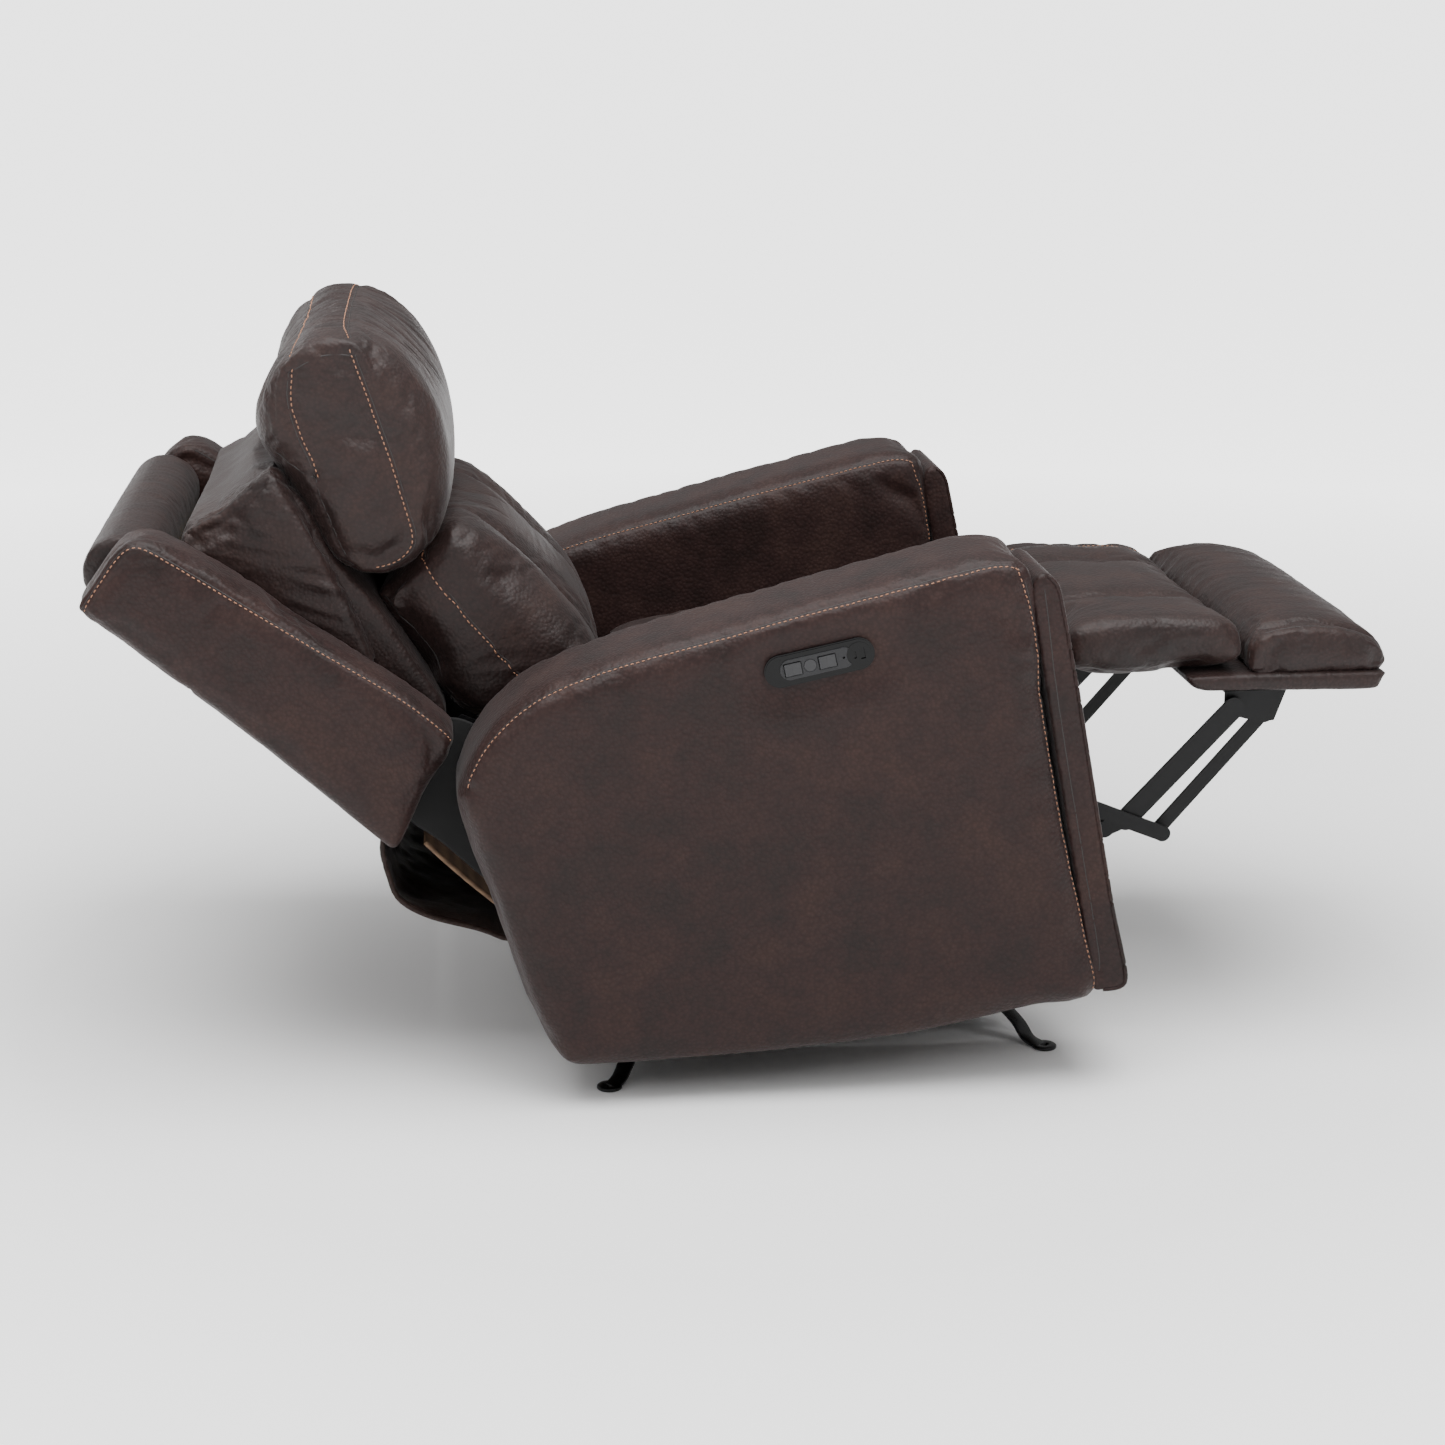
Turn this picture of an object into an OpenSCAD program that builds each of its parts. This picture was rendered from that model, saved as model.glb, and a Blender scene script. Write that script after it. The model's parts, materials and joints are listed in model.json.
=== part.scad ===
// Power rocker recliner armchair with a raised footrest and a power headrest.
// +X points forward, +Y to the sitter's left, +Z up. The floor is z = 0.
// The rest position is fully reclined: body rocked back, footrest out, headrest tilted forward.

/* [Overall] */
// Overall width over both arms
chair_w = 894; // [850:1:940]
// Width of one arm
arm_w = 168; // [150:1:180]
// Padding thickness of the upholstered shells
skin = 9; // [6:1:14]
// Corner rounding of the upholstered shells
soft_r = 14; // [6:1:20]

/* [Base] */
// Height of the base rails' top face
rail_top = 52; // [46:1:58]
// Height of one base rail
rail_h = 30; // [24:1:34]
// Distance of the rail's centre from the middle
rail_y = 217; // [205:1:222]
// Radius of the rocker cam
cam_r = 620; // [500:10:800]
// Gap under the rocker cam
cam_gap = 3; // [2:0.5:6]

/* [Footrest linkage] */
// Thickness of one steel link
link_t = 4; // [3:0.5:4]
// Width of one steel link
link_w = 20; // [16:1:22]
// Pivot pin radius
pin_r = 5; // [4:0.5:6]
// Running clearance of each pin, radial
fit = 0.08; // [0.03:0.01:0.1]

/* [Control panel] */
// Length of the oval bezel
bezel_l = 128; // [110:1:140]
// Height of the oval bezel
bezel_h = 38; // [32:1:44]
// Slope of the panel, front end up
bezel_tilt = 12; // [8:1:16]

/* [Hidden] */
// Length by which a cutting or joined solid runs past the face it meets.
over = 1;
// Bolts from the side plates into the arms, and the blocks between an arm's two boards.
arm_bolts = [[-200, 335], [-80, 290], [100, 290]];
arm_bolt_r = 12;
arm_blocks = [[-120, 495], [180, 565], [-160, 100], [250, 135]];
block_w = 40;
$fn = 48;

arm_out = chair_w / 2;
arm_in = arm_out - arm_w;
thin = 0.5;

// Pivots seen from the side, as [x, z]
rock_axis = [20, rail_top];
back_axis = [-345, 412];
seat_axis = [-100, 300];
head_axis = [-470, 585];
lift_axis = [266, 362];
knee = [470, 279];
control_axis = [236.5, 338];
control_end = [444, 268];
steady_knee = [515.5, 261];
ottoman_axis = [600, 418];
steady_end = [643, 408];
crank_pin = [296, 325];
slot_pin = [200, 318];

// Distances of the stacked link layers from the middle, inner face of each
layer_seat = 263;
layer_lift = 258;
layer_outer = 253;
layer_control = 248;
layer_bracket = 243;
layer_steady = 238;
plate_y = 271;
plate_t = 3;

// Side outlines, as [x, z]
arm_outline = [
    [-212, 47], [-77, 50], [41, 57], [136, 66], [207, 76], [302, 96], [398, 122],
    [384, 200], [362, 300], [342, 400], [324, 500], [310, 590], [300, 640], [284, 650], [234, 648],
    [164, 631], [48, 601], [-68, 570], [-138, 551], [-200, 530], [-251, 509], [-285, 487],
    [-312, 461], [-332, 433], [-346, 403], [-352, 385], [-340, 326], [-318, 265], [-295, 191],
    [-275, 129], [-258, 91], [-241, 66]
];
arm_front_outline = [
    [399.5, 122], [418, 124], [428, 127], [434, 140], [412, 234], [388, 358], [363, 491], [341, 598],
    [326, 633], [304, 646], [312, 590], [326, 500], [344, 400], [364, 300], [386, 200]
];
wing_outline = [
    [-364, 446], [-415, 494], [-527, 570], [-600, 624], [-680, 672], [-706, 678], [-728, 662], [-750, 632],
    [-772, 600], [-716, 556], [-587, 447], [-443, 319], [-425, 314], [-390, 380]
];
back_panel_outline = [
    [-760, 578], [-716, 548], [-587, 441], [-443, 314], [-425, 312], [-425, 322], [-438, 326],
    [-582, 452], [-712, 560], [-756, 588]
];
back_frame_outline = [
    [-404, 392], [-425, 330], [-438, 332], [-580, 458], [-690, 552], [-674, 578], [-560, 490]
];
lumbar_outline = [
    [-168, 436], [-164, 462], [-178, 505], [-201, 542], [-264, 608], [-313, 655], [-348, 670],
    [-372, 655], [-420, 600], [-446, 582], [-414, 534], [-390, 494], [-374, 462], [-330, 425],
    [-250, 398], [-190, 400]
];
headrest_outline = [
    [-398, 634], [-374, 684], [-359, 724], [-356, 758], [-366, 800], [-390, 848], [-418, 880],
    [-450, 896], [-486, 898], [-520, 886], [-550, 862], [-569, 826], [-574, 792], [-564, 764],
    [-543, 735], [-505, 668], [-476, 622], [-440, 608], [-412, 614]
];
seat_outline = [
    [-136, 345], [-138, 432], [-124, 455], [60, 488], [340, 540], [368, 532], [380, 505],
    [378, 440], [366, 428]
];
bolster_outline = [
    [622, 465], [614, 484], [618, 503], [640, 518], [690, 524], [738, 518], [774, 503], [788, 484],
    [780, 465], [700, 463]
];
chaise_outline = [
    [384, 470], [388, 506], [402, 524], [441, 531], [504, 531], [568, 529], [598, 519], [609, 500],
    [604, 466], [540, 464], [470, 456], [420, 458]
];
footrest_board_outline = [
    [536, 452], [556, 438], [592, 438], [773, 445], [776, 461], [700, 462], [536, 461]
];
rear_panel_outline = [
    [-241, 68], [-262, 100], [-280, 134], [-288, 156], [-284, 158], [-275, 134], [-257, 100], [-236, 70]
];
rear_flap_outline = [
    [-436, 309], [-443, 279], [-436, 244], [-424, 214], [-389, 192], [-330, 174], [-303, 162],
    [-292, 162], [-330, 180], [-386, 198], [-418, 219], [-430, 247], [-437, 280], [-431, 308]
];
side_plate_outline = [
    [-372, 412], [-345, 440], [-300, 420], [-240, 372], [-60, 330], [120, 352], [214, 352],
    [226, 280], [150, 250], [140, 96], [80, 96], [60, 240], [-20, 240], [-40, 96], [-100, 96],
    [-120, 250], [-250, 300], [-340, 384]
];

// A flat outline in the side view, thickened from y0 to y1
module side_shape(y0, y1) {
    translate([0, y1, 0]) rotate([90, 0, 0]) linear_extrude(y1 - y0) children();
}

// A rounded outline
module softened(points, r) {
    offset(r = r, $fn = 24) offset(delta = -r) polygon(points);
}

// A hollow padded form: rounded outline between y0 and y1, with walls of thickness wall
module padded(points, y0, y1, r, wall) {
    difference() {
        side_shape(y0, y1) softened(points, r);
        side_shape(y0 + wall, y1 - wall) offset(delta = -wall) softened(points, r);
    }
}

// A round bar along Y, centred on p
module bar_y(p, r, y0, y1) {
    translate([p[0], y1, p[1]]) rotate([90, 0, 0]) cylinder(r = r, h = y1 - y0);
}

// A flat steel link from p to q, with round ends a little wider than its bar
module link_shape(p, q, w) {
    shave = 0.4;
    angle = atan2(q[1] - p[1], q[0] - p[0]);
    length = norm(q - p);
    translate([p[0], p[1]]) circle(d = w);
    translate([q[0], q[1]]) circle(d = w);
    translate([p[0], p[1]]) rotate(angle) translate([0, shave - w / 2]) square([length, w - 2 * shave]);
}

// Both mirror images of a piece that is drawn on the left
module both_sides() {
    children();
    mirror([0, 1, 0]) children();
}

// ---------- Base ----------
rail_x0 = -178;
rail_x1 = 330;
rail_w = 24;
tube_r = 11;
base_tube_x = [-150, 300];
base_tube_z = rail_top - rail_h / 2;
wall = 2;
spring_x = [-40, 80];
spring_y = 184;
spring_r = 13;
spring_z = [40, 106];
cup_h = 4;

module base_rail() {
    color("#1b1b1c") difference() {
        union() {
            translate([rail_x0, rail_y - rail_w / 2, rail_top - rail_h]) cube([rail_x1 - rail_x0, rail_w, rail_h]);
            for (x = spring_x)
                translate([x - spring_r, spring_y - spring_r, spring_z[0] - cup_h])
                    cube([2 * spring_r, rail_y - rail_w / 2 - spring_y + spring_r + 1, cup_h]);
        }
        translate([rail_x0 - over, rail_y - rail_w / 2 + wall, rail_top - rail_h + wall])
            cube([rail_x1 - rail_x0 + 2 * over, rail_w - 2 * wall, rail_h - 2 * wall]);
    }
}

module base_tube(x) {
    inner = rail_y - rail_w / 2;
    color("#1b1b1c") difference() {
        bar_y([x, base_tube_z], tube_r, -inner, inner);
        bar_y([x, base_tube_z], tube_r - wall, -inner - over, inner + over);
    }
}

// A stamped leg from the rail out to a flat pad with a screw hole
foot_t = 4;
foot_hole_r = 3.5;
module foot(x, y) {
    pad_l = 46;
    pad_w = 26;
    inner = rail_y + rail_w / 2;
    color("#161617") {
        difference() {
            translate([x - pad_l / 2, y - pad_w / 2, 0]) cube([pad_l, pad_w, foot_t]);
            translate([x, y, -over]) cylinder(r = foot_hole_r, h = foot_t + 2 * over);
        }
        translate([x - pad_l / 2, 0, 0]) rotate([90, 0, 90]) linear_extrude(pad_l) polygon([
            [inner, rail_top - rail_h], [inner, rail_top - foot_t], [inner + foot_t, rail_top - foot_t],
            [y - pad_w / 2 + foot_t, foot_t], [y - pad_w / 2 + foot_t, 0], [y - pad_w / 2, 0],
            [inner + foot_t, rail_top - rail_h - foot_t], [inner, rail_top - rail_h - foot_t]
        ]);
    }
}
foot_front = [366, 301];
foot_rear = [-180, 378];

module rocker_spring() {
    wire = 3;
    color("#6f7072") for (x = spring_x) difference() {
        translate([x, spring_y, spring_z[0]]) cylinder(r = spring_r, h = spring_z[1] - spring_z[0]);
        translate([x, spring_y, spring_z[0] - over]) cylinder(r = spring_r - wire, h = spring_z[1] - spring_z[0] + 2 * over);
    }
}

// ---------- Rocking chair body ----------
cam_t = 12;
cam_top = 100;
cam_half = 120;
ear_top = 140;
lean_back = 4.5;
seat_gap = 0.1;
cross_x = [-70, 110];
cross_z = 120;
cross_r = 12;

module rocker_cam() {
    y0 = rail_y - cam_t / 2;
    ear_w = 50;
    color("#202022") {
        difference() {
            side_shape(y0, y0 + cam_t) difference() {
                intersection() {
                    translate(rock_axis) rotate(lean_back) translate([0, cam_gap + cam_r]) circle(r = cam_r, $fn = 180);
                    translate([rock_axis[0] - cam_half, rail_top]) square([2 * cam_half, ear_top - rail_top]);
                }
                translate([rock_axis[0] - cam_half + ear_w, cam_top])
                    square([2 * (cam_half - ear_w), ear_top - cam_top + 1]);
            }
            for (x = cross_x) bar_y([x, cross_z], cross_r + seat_gap, y0 - over, y0 + cam_t + over);
        }
        for (x = spring_x)
            translate([x - spring_r, spring_y - spring_r, spring_z[1]])
                cube([2 * spring_r, y0 - spring_y + spring_r + 1, cup_h - 1]);
        for (x = spring_x)
            translate([x - spring_r, y0 - 1, cam_top - 16]) cube([2 * spring_r, 4, spring_z[1] + cup_h - 1 - cam_top + 16]);
    }
}

module side_plate() {
    slot_travel = 27;
    slot_r = pin_r + 1.7;
    color("#252527") difference() {
        union() {
            side_shape(plate_y, plate_y + plate_t) polygon(side_plate_outline);
            for (p = arm_bolts) bar_y(p, arm_bolt_r, plate_y, arm_in);
        }
        bar_y(back_axis, pin_r + fit, plate_y - over, plate_y + plate_t + over);
        bar_y(seat_axis, pin_r + fit, plate_y - over, plate_y + plate_t + over);
        for (x = cross_x) bar_y([x, cross_z], cross_r + seat_gap, plate_y - over, plate_y + plate_t + over);
        side_shape(plate_y - over, plate_y + plate_t + over)
            link_shape(slot_pin + [0, 1], slot_pin + [0.5, -slot_travel], 2 * slot_r);
    }
}

module cross_tubes() {
    end = plate_y + plate_t;
    color("#1d1d1f") for (x = cross_x) difference() {
        bar_y([x, cross_z], cross_r, -end, end);
        bar_y([x, cross_z], cross_r - wall, -end - over, end + over);
    }
}

module rear_board() {
    color("#7a6148") side_shape(-arm_in + 1, arm_in - 1)
        polygon([[-252, 104], [-236, 76], [-180, 76], [-180, 84], [-230, 84], [-244, 108]]);
}

module rear_panel() { color("#4b4441") side_shape(-arm_in + 1, arm_in - 1) polygon(rear_panel_outline); }

module rear_flap() { color("#453b38") side_shape(-arm_in + 10, arm_in - 10) polygon(rear_flap_outline); }

module arm_frame() {
    board = 15;
    y0 = arm_in + skin + 2;
    y1 = arm_out - skin - 2;
    color("#b08d62") {
        side_shape(y0, y0 + board) offset(delta = -skin - 4) polygon(arm_outline);
        side_shape(y1 - board, y1) offset(delta = -skin - 4) polygon(arm_outline);
        for (p = arm_blocks)
            translate([p[0], y0 + board - over, p[1]]) cube([block_w, y1 - y0 - 2 * board + 2 * over, block_w]);
    }
}

module arm_shell() { color("#453b38") padded(arm_outline, arm_in, arm_out, soft_r, skin); }

module arm_front() { color("#40312d") side_shape(arm_in + 6, arm_out - 8) softened(arm_front_outline, 3); }

// ---------- Control panel, on the right arm's outer face ----------
panel_at = [59, 536];
bezel_t = 5;
plate_rise = 1.2;
plate_l = 86;
plate_h = 24;
switch_l = 19;
switch_h = 14;
switch_t = 7;
home_r = 7;
usb_r = 14;
panel_gap = 0.5;
left_switch = -31;
home_at = -11;
right_switch = 9;
led_at = 25;
usb_at = 46;

// Places a piece on the panel: x along the panel, y up it, z out of the arm
module on_panel() {
    translate([panel_at[0], -arm_out, panel_at[1]]) rotate([90, 0, 0]) rotate([0, 0, bezel_tilt]) children();
}

module stadium(l, h) {
    translate([-(l - h) / 2, 0]) circle(d = h);
    translate([(l - h) / 2, 0]) circle(d = h);
    square([l - h, h - thin], center = true);
}

plate_at = left_switch / 2 + led_at / 2;

module control_bezel() {
    color("#1c1b1b") on_panel() difference() {
        union() {
            linear_extrude(bezel_t - 1) stadium(bezel_l, bezel_h);
            linear_extrude(bezel_t) stadium(bezel_l - 3, bezel_h - 3);
        }
        translate([plate_at, 0, bezel_t - 2]) linear_extrude(3) stadium(plate_l + 0.4, plate_h + 0.4);
        for (x = [left_switch, right_switch])
            translate([x, 0, 1]) linear_extrude(bezel_t) square([switch_l + 2, switch_h + 2], center = true);
        translate([home_at, 0, 1]) linear_extrude(bezel_t) circle(r = home_r + panel_gap);
        translate([usb_at, 0, bezel_t - 3]) linear_extrude(4) circle(r = usb_r + 0.1);
    }
}

module control_plate() {
    color("#6e6e70") on_panel() difference() {
        translate([plate_at, 0, bezel_t - 2]) linear_extrude(2 + plate_rise) difference() {
            stadium(plate_l, plate_h);
            translate([left_switch - plate_at, 0]) square([switch_l + 2, switch_h + 2], center = true);
            translate([right_switch - plate_at, 0]) square([switch_l + 2, switch_h + 2], center = true);
            translate([home_at - plate_at, 0]) circle(r = home_r + panel_gap);
            translate([led_at - plate_at + 3, 0]) circle(r = 1.5);
            translate([usb_at - plate_at, 0]) circle(r = usb_r + 0.3);
        }
    }
}

module usb_socket() {
    color("#101011") on_panel() translate([usb_at, 0, bezel_t - 3]) difference() {
        linear_extrude(3.6) circle(r = usb_r);
        translate([-5, 0, 1]) linear_extrude(4) stadium_upright(9, 3.4);
        translate([4, 0, 1]) linear_extrude(4) square([5.4, 13], center = true);
    }
}

module stadium_upright(l, h) { rotate(90) stadium(l, h); }

module rocker_switch(x) {
    half = switch_l / 2;
    color("#9a9b9d") on_panel() translate([x, switch_h / 2, 0]) rotate([90, 0, 0]) linear_extrude(switch_h)
        polygon([[-half, 4], [-half, switch_t + 1.2], [0, switch_t], [half, switch_t + 1.2], [half, 4], [0, 2.5]]);
}

module home_button() { color("#8a8b8d") on_panel() translate([home_at, 0, 3]) cylinder(r = home_r, h = switch_t - 3.5); }

// ---------- Recline drive ----------
drive_z = 286;
rail_end = 262;
motor_x = -62;
gearbox = [56, 48, 62];
gearbox_drop = 30;
motor_r = 21;
motor_l = 80;
motor_drop = 106;
rail_half = 15;
rail_t = 12;
groove_half = 8;

// A gearbox with its motor hanging below it
module recline_motor() {
    color("#232324") {
        translate([motor_x - gearbox[0], -gearbox[1] / 2, drive_z - gearbox_drop]) cube(gearbox);
        translate([motor_x - gearbox[0] / 2, 0, drive_z - motor_drop]) cylinder(r = motor_r, h = motor_l);
    }
}

module drive_rail() {
    color("#3a3a3c") difference() {
        translate([motor_x, -rail_half, drive_z - rail_t]) cube([rail_end - motor_x, 2 * rail_half, rail_t]);
        translate([motor_x + 6, -groove_half, drive_z - 9]) cube([rail_end - motor_x, 2 * groove_half, 10]);
    }
}

module drive_block() {
    half_w = 14;
    prong = 9;
    free = 9.8;
    reach = 100;
    key_l = 54;
    x = crank_pin[0];
    color("#2b2b2d") {
        translate([x - reach, -half_w, drive_z + 0.5]) cube([reach + free + prong, 2 * half_w, 12]);
        translate([x - reach, -7, drive_z - 7]) cube([key_l, 14, 8]);
        for (s = [-1, 1]) translate([x + s * (free + prong / 2) - prong / 2, -half_w, drive_z + 12])
            cube([prong, 2 * half_w, 34]);
    }
}

supply_at = [-80, -166, 56];
supply_l = 200;
supply_w = 60;
inlet_l = 26;
inlet_w = 30;
inlet_h = 24;
inlet_at = [supply_at[0] - inlet_l, -120, 46];
inlet_r = 5;
inlet_deep = 14;

// The power supply hangs under the cross tubes
module power_supply() {
    color("#1a1a1b") translate(supply_at) cube([supply_l, supply_w, cross_z - cross_r - supply_at[2]]);
}

// A round low-voltage socket on the supply's rear end, facing the rear under the rear panel
module power_inlet() {
    color("#121213") difference() {
        translate(inlet_at) cube([inlet_l, inlet_w, inlet_h]);
        translate(inlet_at + [-1, inlet_w / 2, inlet_h / 2]) rotate([0, 90, 0]) cylinder(r = inlet_r, h = inlet_deep + 1);
    }
}

// ---------- Seat ----------
seat_half = 262;

module seat_rail() {
    color("#2a2a2c") {
        side_shape(layer_seat - 23, layer_seat - 1) polygon([
            [-132, 312], [-132, 336], [240, 398], [272, 403], [272, 379], [240, 374]
        ]);
        side_shape(layer_seat, layer_seat + link_t) polygon([
            [-125, 285], [-132, 336], [240, 398], [274, 403], [275, 350], [262, 346], [226, 322], [120, 300], [-60, 290]
        ]);
        side_shape(layer_seat - 2, layer_seat + 1) polygon([[-130, 314], [-130, 334], [240, 396], [270, 400], [270, 381], [240, 376]]);
        bar_y(seat_axis, pin_r, layer_seat + link_t - 1, plate_y + plate_t);
        bar_y(slot_pin, pin_r + 1, layer_seat + link_t - 1, plate_y + plate_t);
        bar_y(lift_axis, pin_r, layer_lift, layer_seat + 1);
        bar_y(control_axis, pin_r, layer_control, layer_seat + 1);
    }
}

module seat_front_board() {
    color("#b08d62") side_shape(-layer_seat + 23, layer_seat - 23) polygon([[218, 340], [218, 393], [238, 396], [238, 343]]);
}

module seat_springs() {
    color("#77787a") side_shape(-layer_seat + 23, layer_seat - 23)
        polygon([[-130, 335], [-130, 336.2], [212, 393.5], [212, 392.3]]);
}

module seat_cushion() { color("#423431") padded(seat_outline, -seat_half, seat_half, soft_r, skin); }

// ---------- Footrest linkage ----------
torque_r = 9;
open_gap = 3.3;
wide_link = 27;

module lift_links() {
    color("#1e1e20") both_sides() {
        difference() {
            side_shape(layer_lift, layer_lift + link_t) {
                link_shape(lift_axis, knee, link_w);
                link_shape(knee, steady_knee, link_w);
            }
            bar_y(lift_axis, pin_r + fit, layer_lift - over, layer_lift + link_t + over);
        }
        bar_y(knee, pin_r, layer_outer - thin, layer_lift + 1);
        bar_y(steady_knee, pin_r, layer_steady, layer_lift + 1);
    }
}

// The tube that joins both lift links, with the crank that the drive block pushes
module footrest_torque_tube() {
    crank_y = 16;
    color("#1e1e20") {
        difference() {
            bar_y(lift_axis, torque_r, -layer_lift, layer_lift);
            bar_y(lift_axis, torque_r - wall - thin, -layer_lift - over, layer_lift + over);
        }
        both_sides() side_shape(crank_y, crank_y + link_t) difference() {
            link_shape(lift_axis, crank_pin, link_w);
            translate(lift_axis) circle(r = torque_r - 1);
        }
        bar_y(crank_pin, pin_r + 1, -crank_y - over, crank_y + over);
    }
}

module control_links() {
    color("#1e1e20") both_sides() difference() {
        side_shape(layer_control, layer_control + link_t) difference() {
            union() {
                link_shape(control_axis, control_end, link_w);
                translate(control_end) circle(d = link_w + 6);
            }
            translate(control_end) circle(r = pin_r + open_gap);
        }
        bar_y(control_axis, pin_r + fit, layer_control - over, layer_control + link_t + over);
    }
}

module outer_links() {
    color("#1e1e20") both_sides() {
        difference() {
            side_shape(layer_outer, layer_outer + link_t) {
                link_shape(control_end, knee, link_w);
                link_shape(knee, ottoman_axis, wide_link);
            }
            bar_y(knee, pin_r + fit, layer_outer - over, layer_outer + link_t + over);
        }
        bar_y(control_end, pin_r, layer_control, layer_outer + 1);
        bar_y(ottoman_axis, pin_r, layer_bracket, layer_outer + 1);
    }
}

module steady_links() {
    color("#1e1e20") both_sides() difference() {
        side_shape(layer_steady, layer_steady + link_t) difference() {
            union() {
                link_shape(steady_knee, steady_end, link_w - 2);
                translate(steady_end) circle(d = link_w + 6);
            }
            translate(steady_end) circle(r = pin_r + open_gap);
        }
        bar_y(steady_knee, pin_r + fit, layer_steady - over, layer_steady + link_t + over);
    }
}

module footrest_brackets() {
    color("#1e1e20") both_sides() {
        difference() {
            side_shape(layer_bracket, layer_bracket + link_t)
                polygon([[591, 437], [591, 409], [636, 397], [654, 399], [668, 438]]);
            bar_y(ottoman_axis, pin_r + fit, layer_bracket - over, layer_bracket + link_t + over);
        }
        bar_y(steady_end, pin_r, layer_steady, layer_bracket + 1);
        translate([591, layer_bracket - 22, 434.5]) cube([77, 23, 3]);
    }
}

board_half = 264;
bolster_half = 266;
module footrest_board() { color("#3b302d") side_shape(-board_half, board_half) polygon(footrest_board_outline); }

module footrest_cushion() {
    color("#463a36") padded(bolster_outline, -bolster_half, bolster_half, soft_r, skin);
}

module chaise_pad() { color("#463a36") padded(chaise_outline, -bolster_half, bolster_half, soft_r, skin); }

// ---------- Back ----------
module back_brackets() {
    color("#242426") both_sides() {
        side_shape(layer_seat + 2, layer_seat + 7) polygon([
            [-334, 400], [-330, 420], [-350, 430], [-402, 396], [-470, 452], [-486, 436], [-412, 370], [-380, 372]
        ]);
        bar_y(back_axis, pin_r, layer_seat + 5, plate_y + plate_t);
    }
}

post_y = 200;

module back_frame() {
    half = 286;
    color("#b08d62") {
        both_sides() side_shape(layer_seat + 7, half) polygon(back_frame_outline);
        side_shape(-layer_seat - 2, layer_seat + 2) polygon([[-425, 330], [-438, 332], [-470, 360], [-446, 384], [-404, 392]]);
        side_shape(-half + 1, half - 1) polygon([[-660, 528], [-700, 562], [-684, 584], [-642, 550]]);
        both_sides() side_shape(post_y, post_y + 12) polygon([
            [-500, 410], [-530, 440], [-560, 470], [-482, 602], [-458, 598], [-450, 574], [-440, 392], [-470, 380]
        ]);
        both_sides() bar_y(head_axis, pin_r, post_y + 11, post_y + 17);
    }
}

module wing() { color("#453b38") padded(wing_outline, 290, 384, soft_r, skin); }

module back_roll() {
    half = 284;
    color("#453b38") difference() {
        bar_y([-716, 612], 38, -half, half);
        bar_y([-716, 612], 38 - skin, -half + skin, half - skin);
    }
}

module back_panel() { color("#4a4240") side_shape(-arm_in - 6, arm_in + 6) polygon(back_panel_outline); }

module lumbar_cushion() { color("#423431") padded(lumbar_outline, -seat_half, seat_half, soft_r, skin); }

rod_from = [-602, 512];
rod_to = [-526, 646];
rod_start = 33;
rod_l = 113;
rod_r = 7;
rod_angle = atan2(rod_to[1] - rod_from[1], rod_to[0] - rod_from[0]);

// Places a piece on the headrest actuator, x along its rod
module on_rod() { translate([rod_from[0], 0, rod_from[1]]) rotate([0, -rod_angle, 0]) children(); }

module headrest_motor() {
    color("#232324") on_rod() difference() {
        union() {
            translate([-14, -18, -18]) cube([36, 64, 36]);
            rotate([0, 90, 0]) cylinder(r = 11, h = rod_start + 60);
        }
        translate([-8, 0, 0]) rotate([0, 90, 0]) cylinder(r = rod_r + fit, h = 120);
    }
}

module headrest_rod() {
    color("#8d8e90") on_rod() translate([rod_start, 0, 0]) rotate([0, 90, 0]) cylinder(r = rod_r, h = rod_l);
}

// ---------- Headrest ----------
headrest_half = 285;
head_plate_y = post_y + 13;
head_bend = [-500, 690];
head_bar = [-470, 800];

// The side view of one headrest arm, w wide
module headrest_arm_shape(w) {
    link_shape(head_axis, head_bend, w);
    link_shape(head_bend, head_bar, w);
}

module headrest_frame() {
    color("#242426") {
        both_sides() difference() {
            side_shape(head_plate_y, head_plate_y + link_t) headrest_arm_shape(26);
            bar_y(head_axis, pin_r + fit, head_plate_y - 1, head_plate_y + link_t + 1);
        }
        bar_y(head_bar, 8, -head_plate_y - 1, head_plate_y + 1);
    }
}

module headrest_cushion() {
    color("#463a36") difference() {
        padded(headrest_outline, -headrest_half, headrest_half, soft_r, skin);
        both_sides() side_shape(head_plate_y - 1, head_plate_y + link_t + 1) headrest_arm_shape(28);
    }
}

base_rail();  // base_rail_left
mirror([0, 1, 0]) base_rail();  // base_rail_right
base_tube(base_tube_x[1]);  // base_tube_front
base_tube(base_tube_x[0]);  // base_tube_rear
foot(foot_front[0], foot_front[1]);  // foot_front_left
mirror([0, 1, 0]) foot(foot_front[0], foot_front[1]);  // foot_front_right
foot(foot_rear[0], foot_rear[1]);  // foot_rear_left
mirror([0, 1, 0]) foot(foot_rear[0], foot_rear[1]);  // foot_rear_right
both_sides() rocker_spring();  // rocker_springs
rocker_cam();  // rocker_cam_left
mirror([0, 1, 0]) rocker_cam();  // rocker_cam_right
side_plate();  // side_plate_left
mirror([0, 1, 0]) side_plate();  // side_plate_right
cross_tubes();
rear_board();
rear_panel();
rear_flap();
arm_frame();  // arm_frame_left
mirror([0, 1, 0]) arm_frame();  // arm_frame_right
arm_shell();  // arm_left
mirror([0, 1, 0]) arm_shell();  // arm_right
arm_front();  // arm_front_left
mirror([0, 1, 0]) arm_front();  // arm_front_right
control_bezel();
control_plate();
usb_socket();
rocker_switch(left_switch);  // recline_switch
rocker_switch(right_switch);  // headrest_switch
home_button();
power_supply();
power_inlet();
recline_motor();
drive_rail();
drive_block();
seat_rail();  // seat_rail_left
mirror([0, 1, 0]) seat_rail();  // seat_rail_right
seat_front_board();
seat_springs();
seat_cushion();
lift_links();
footrest_torque_tube();
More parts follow.
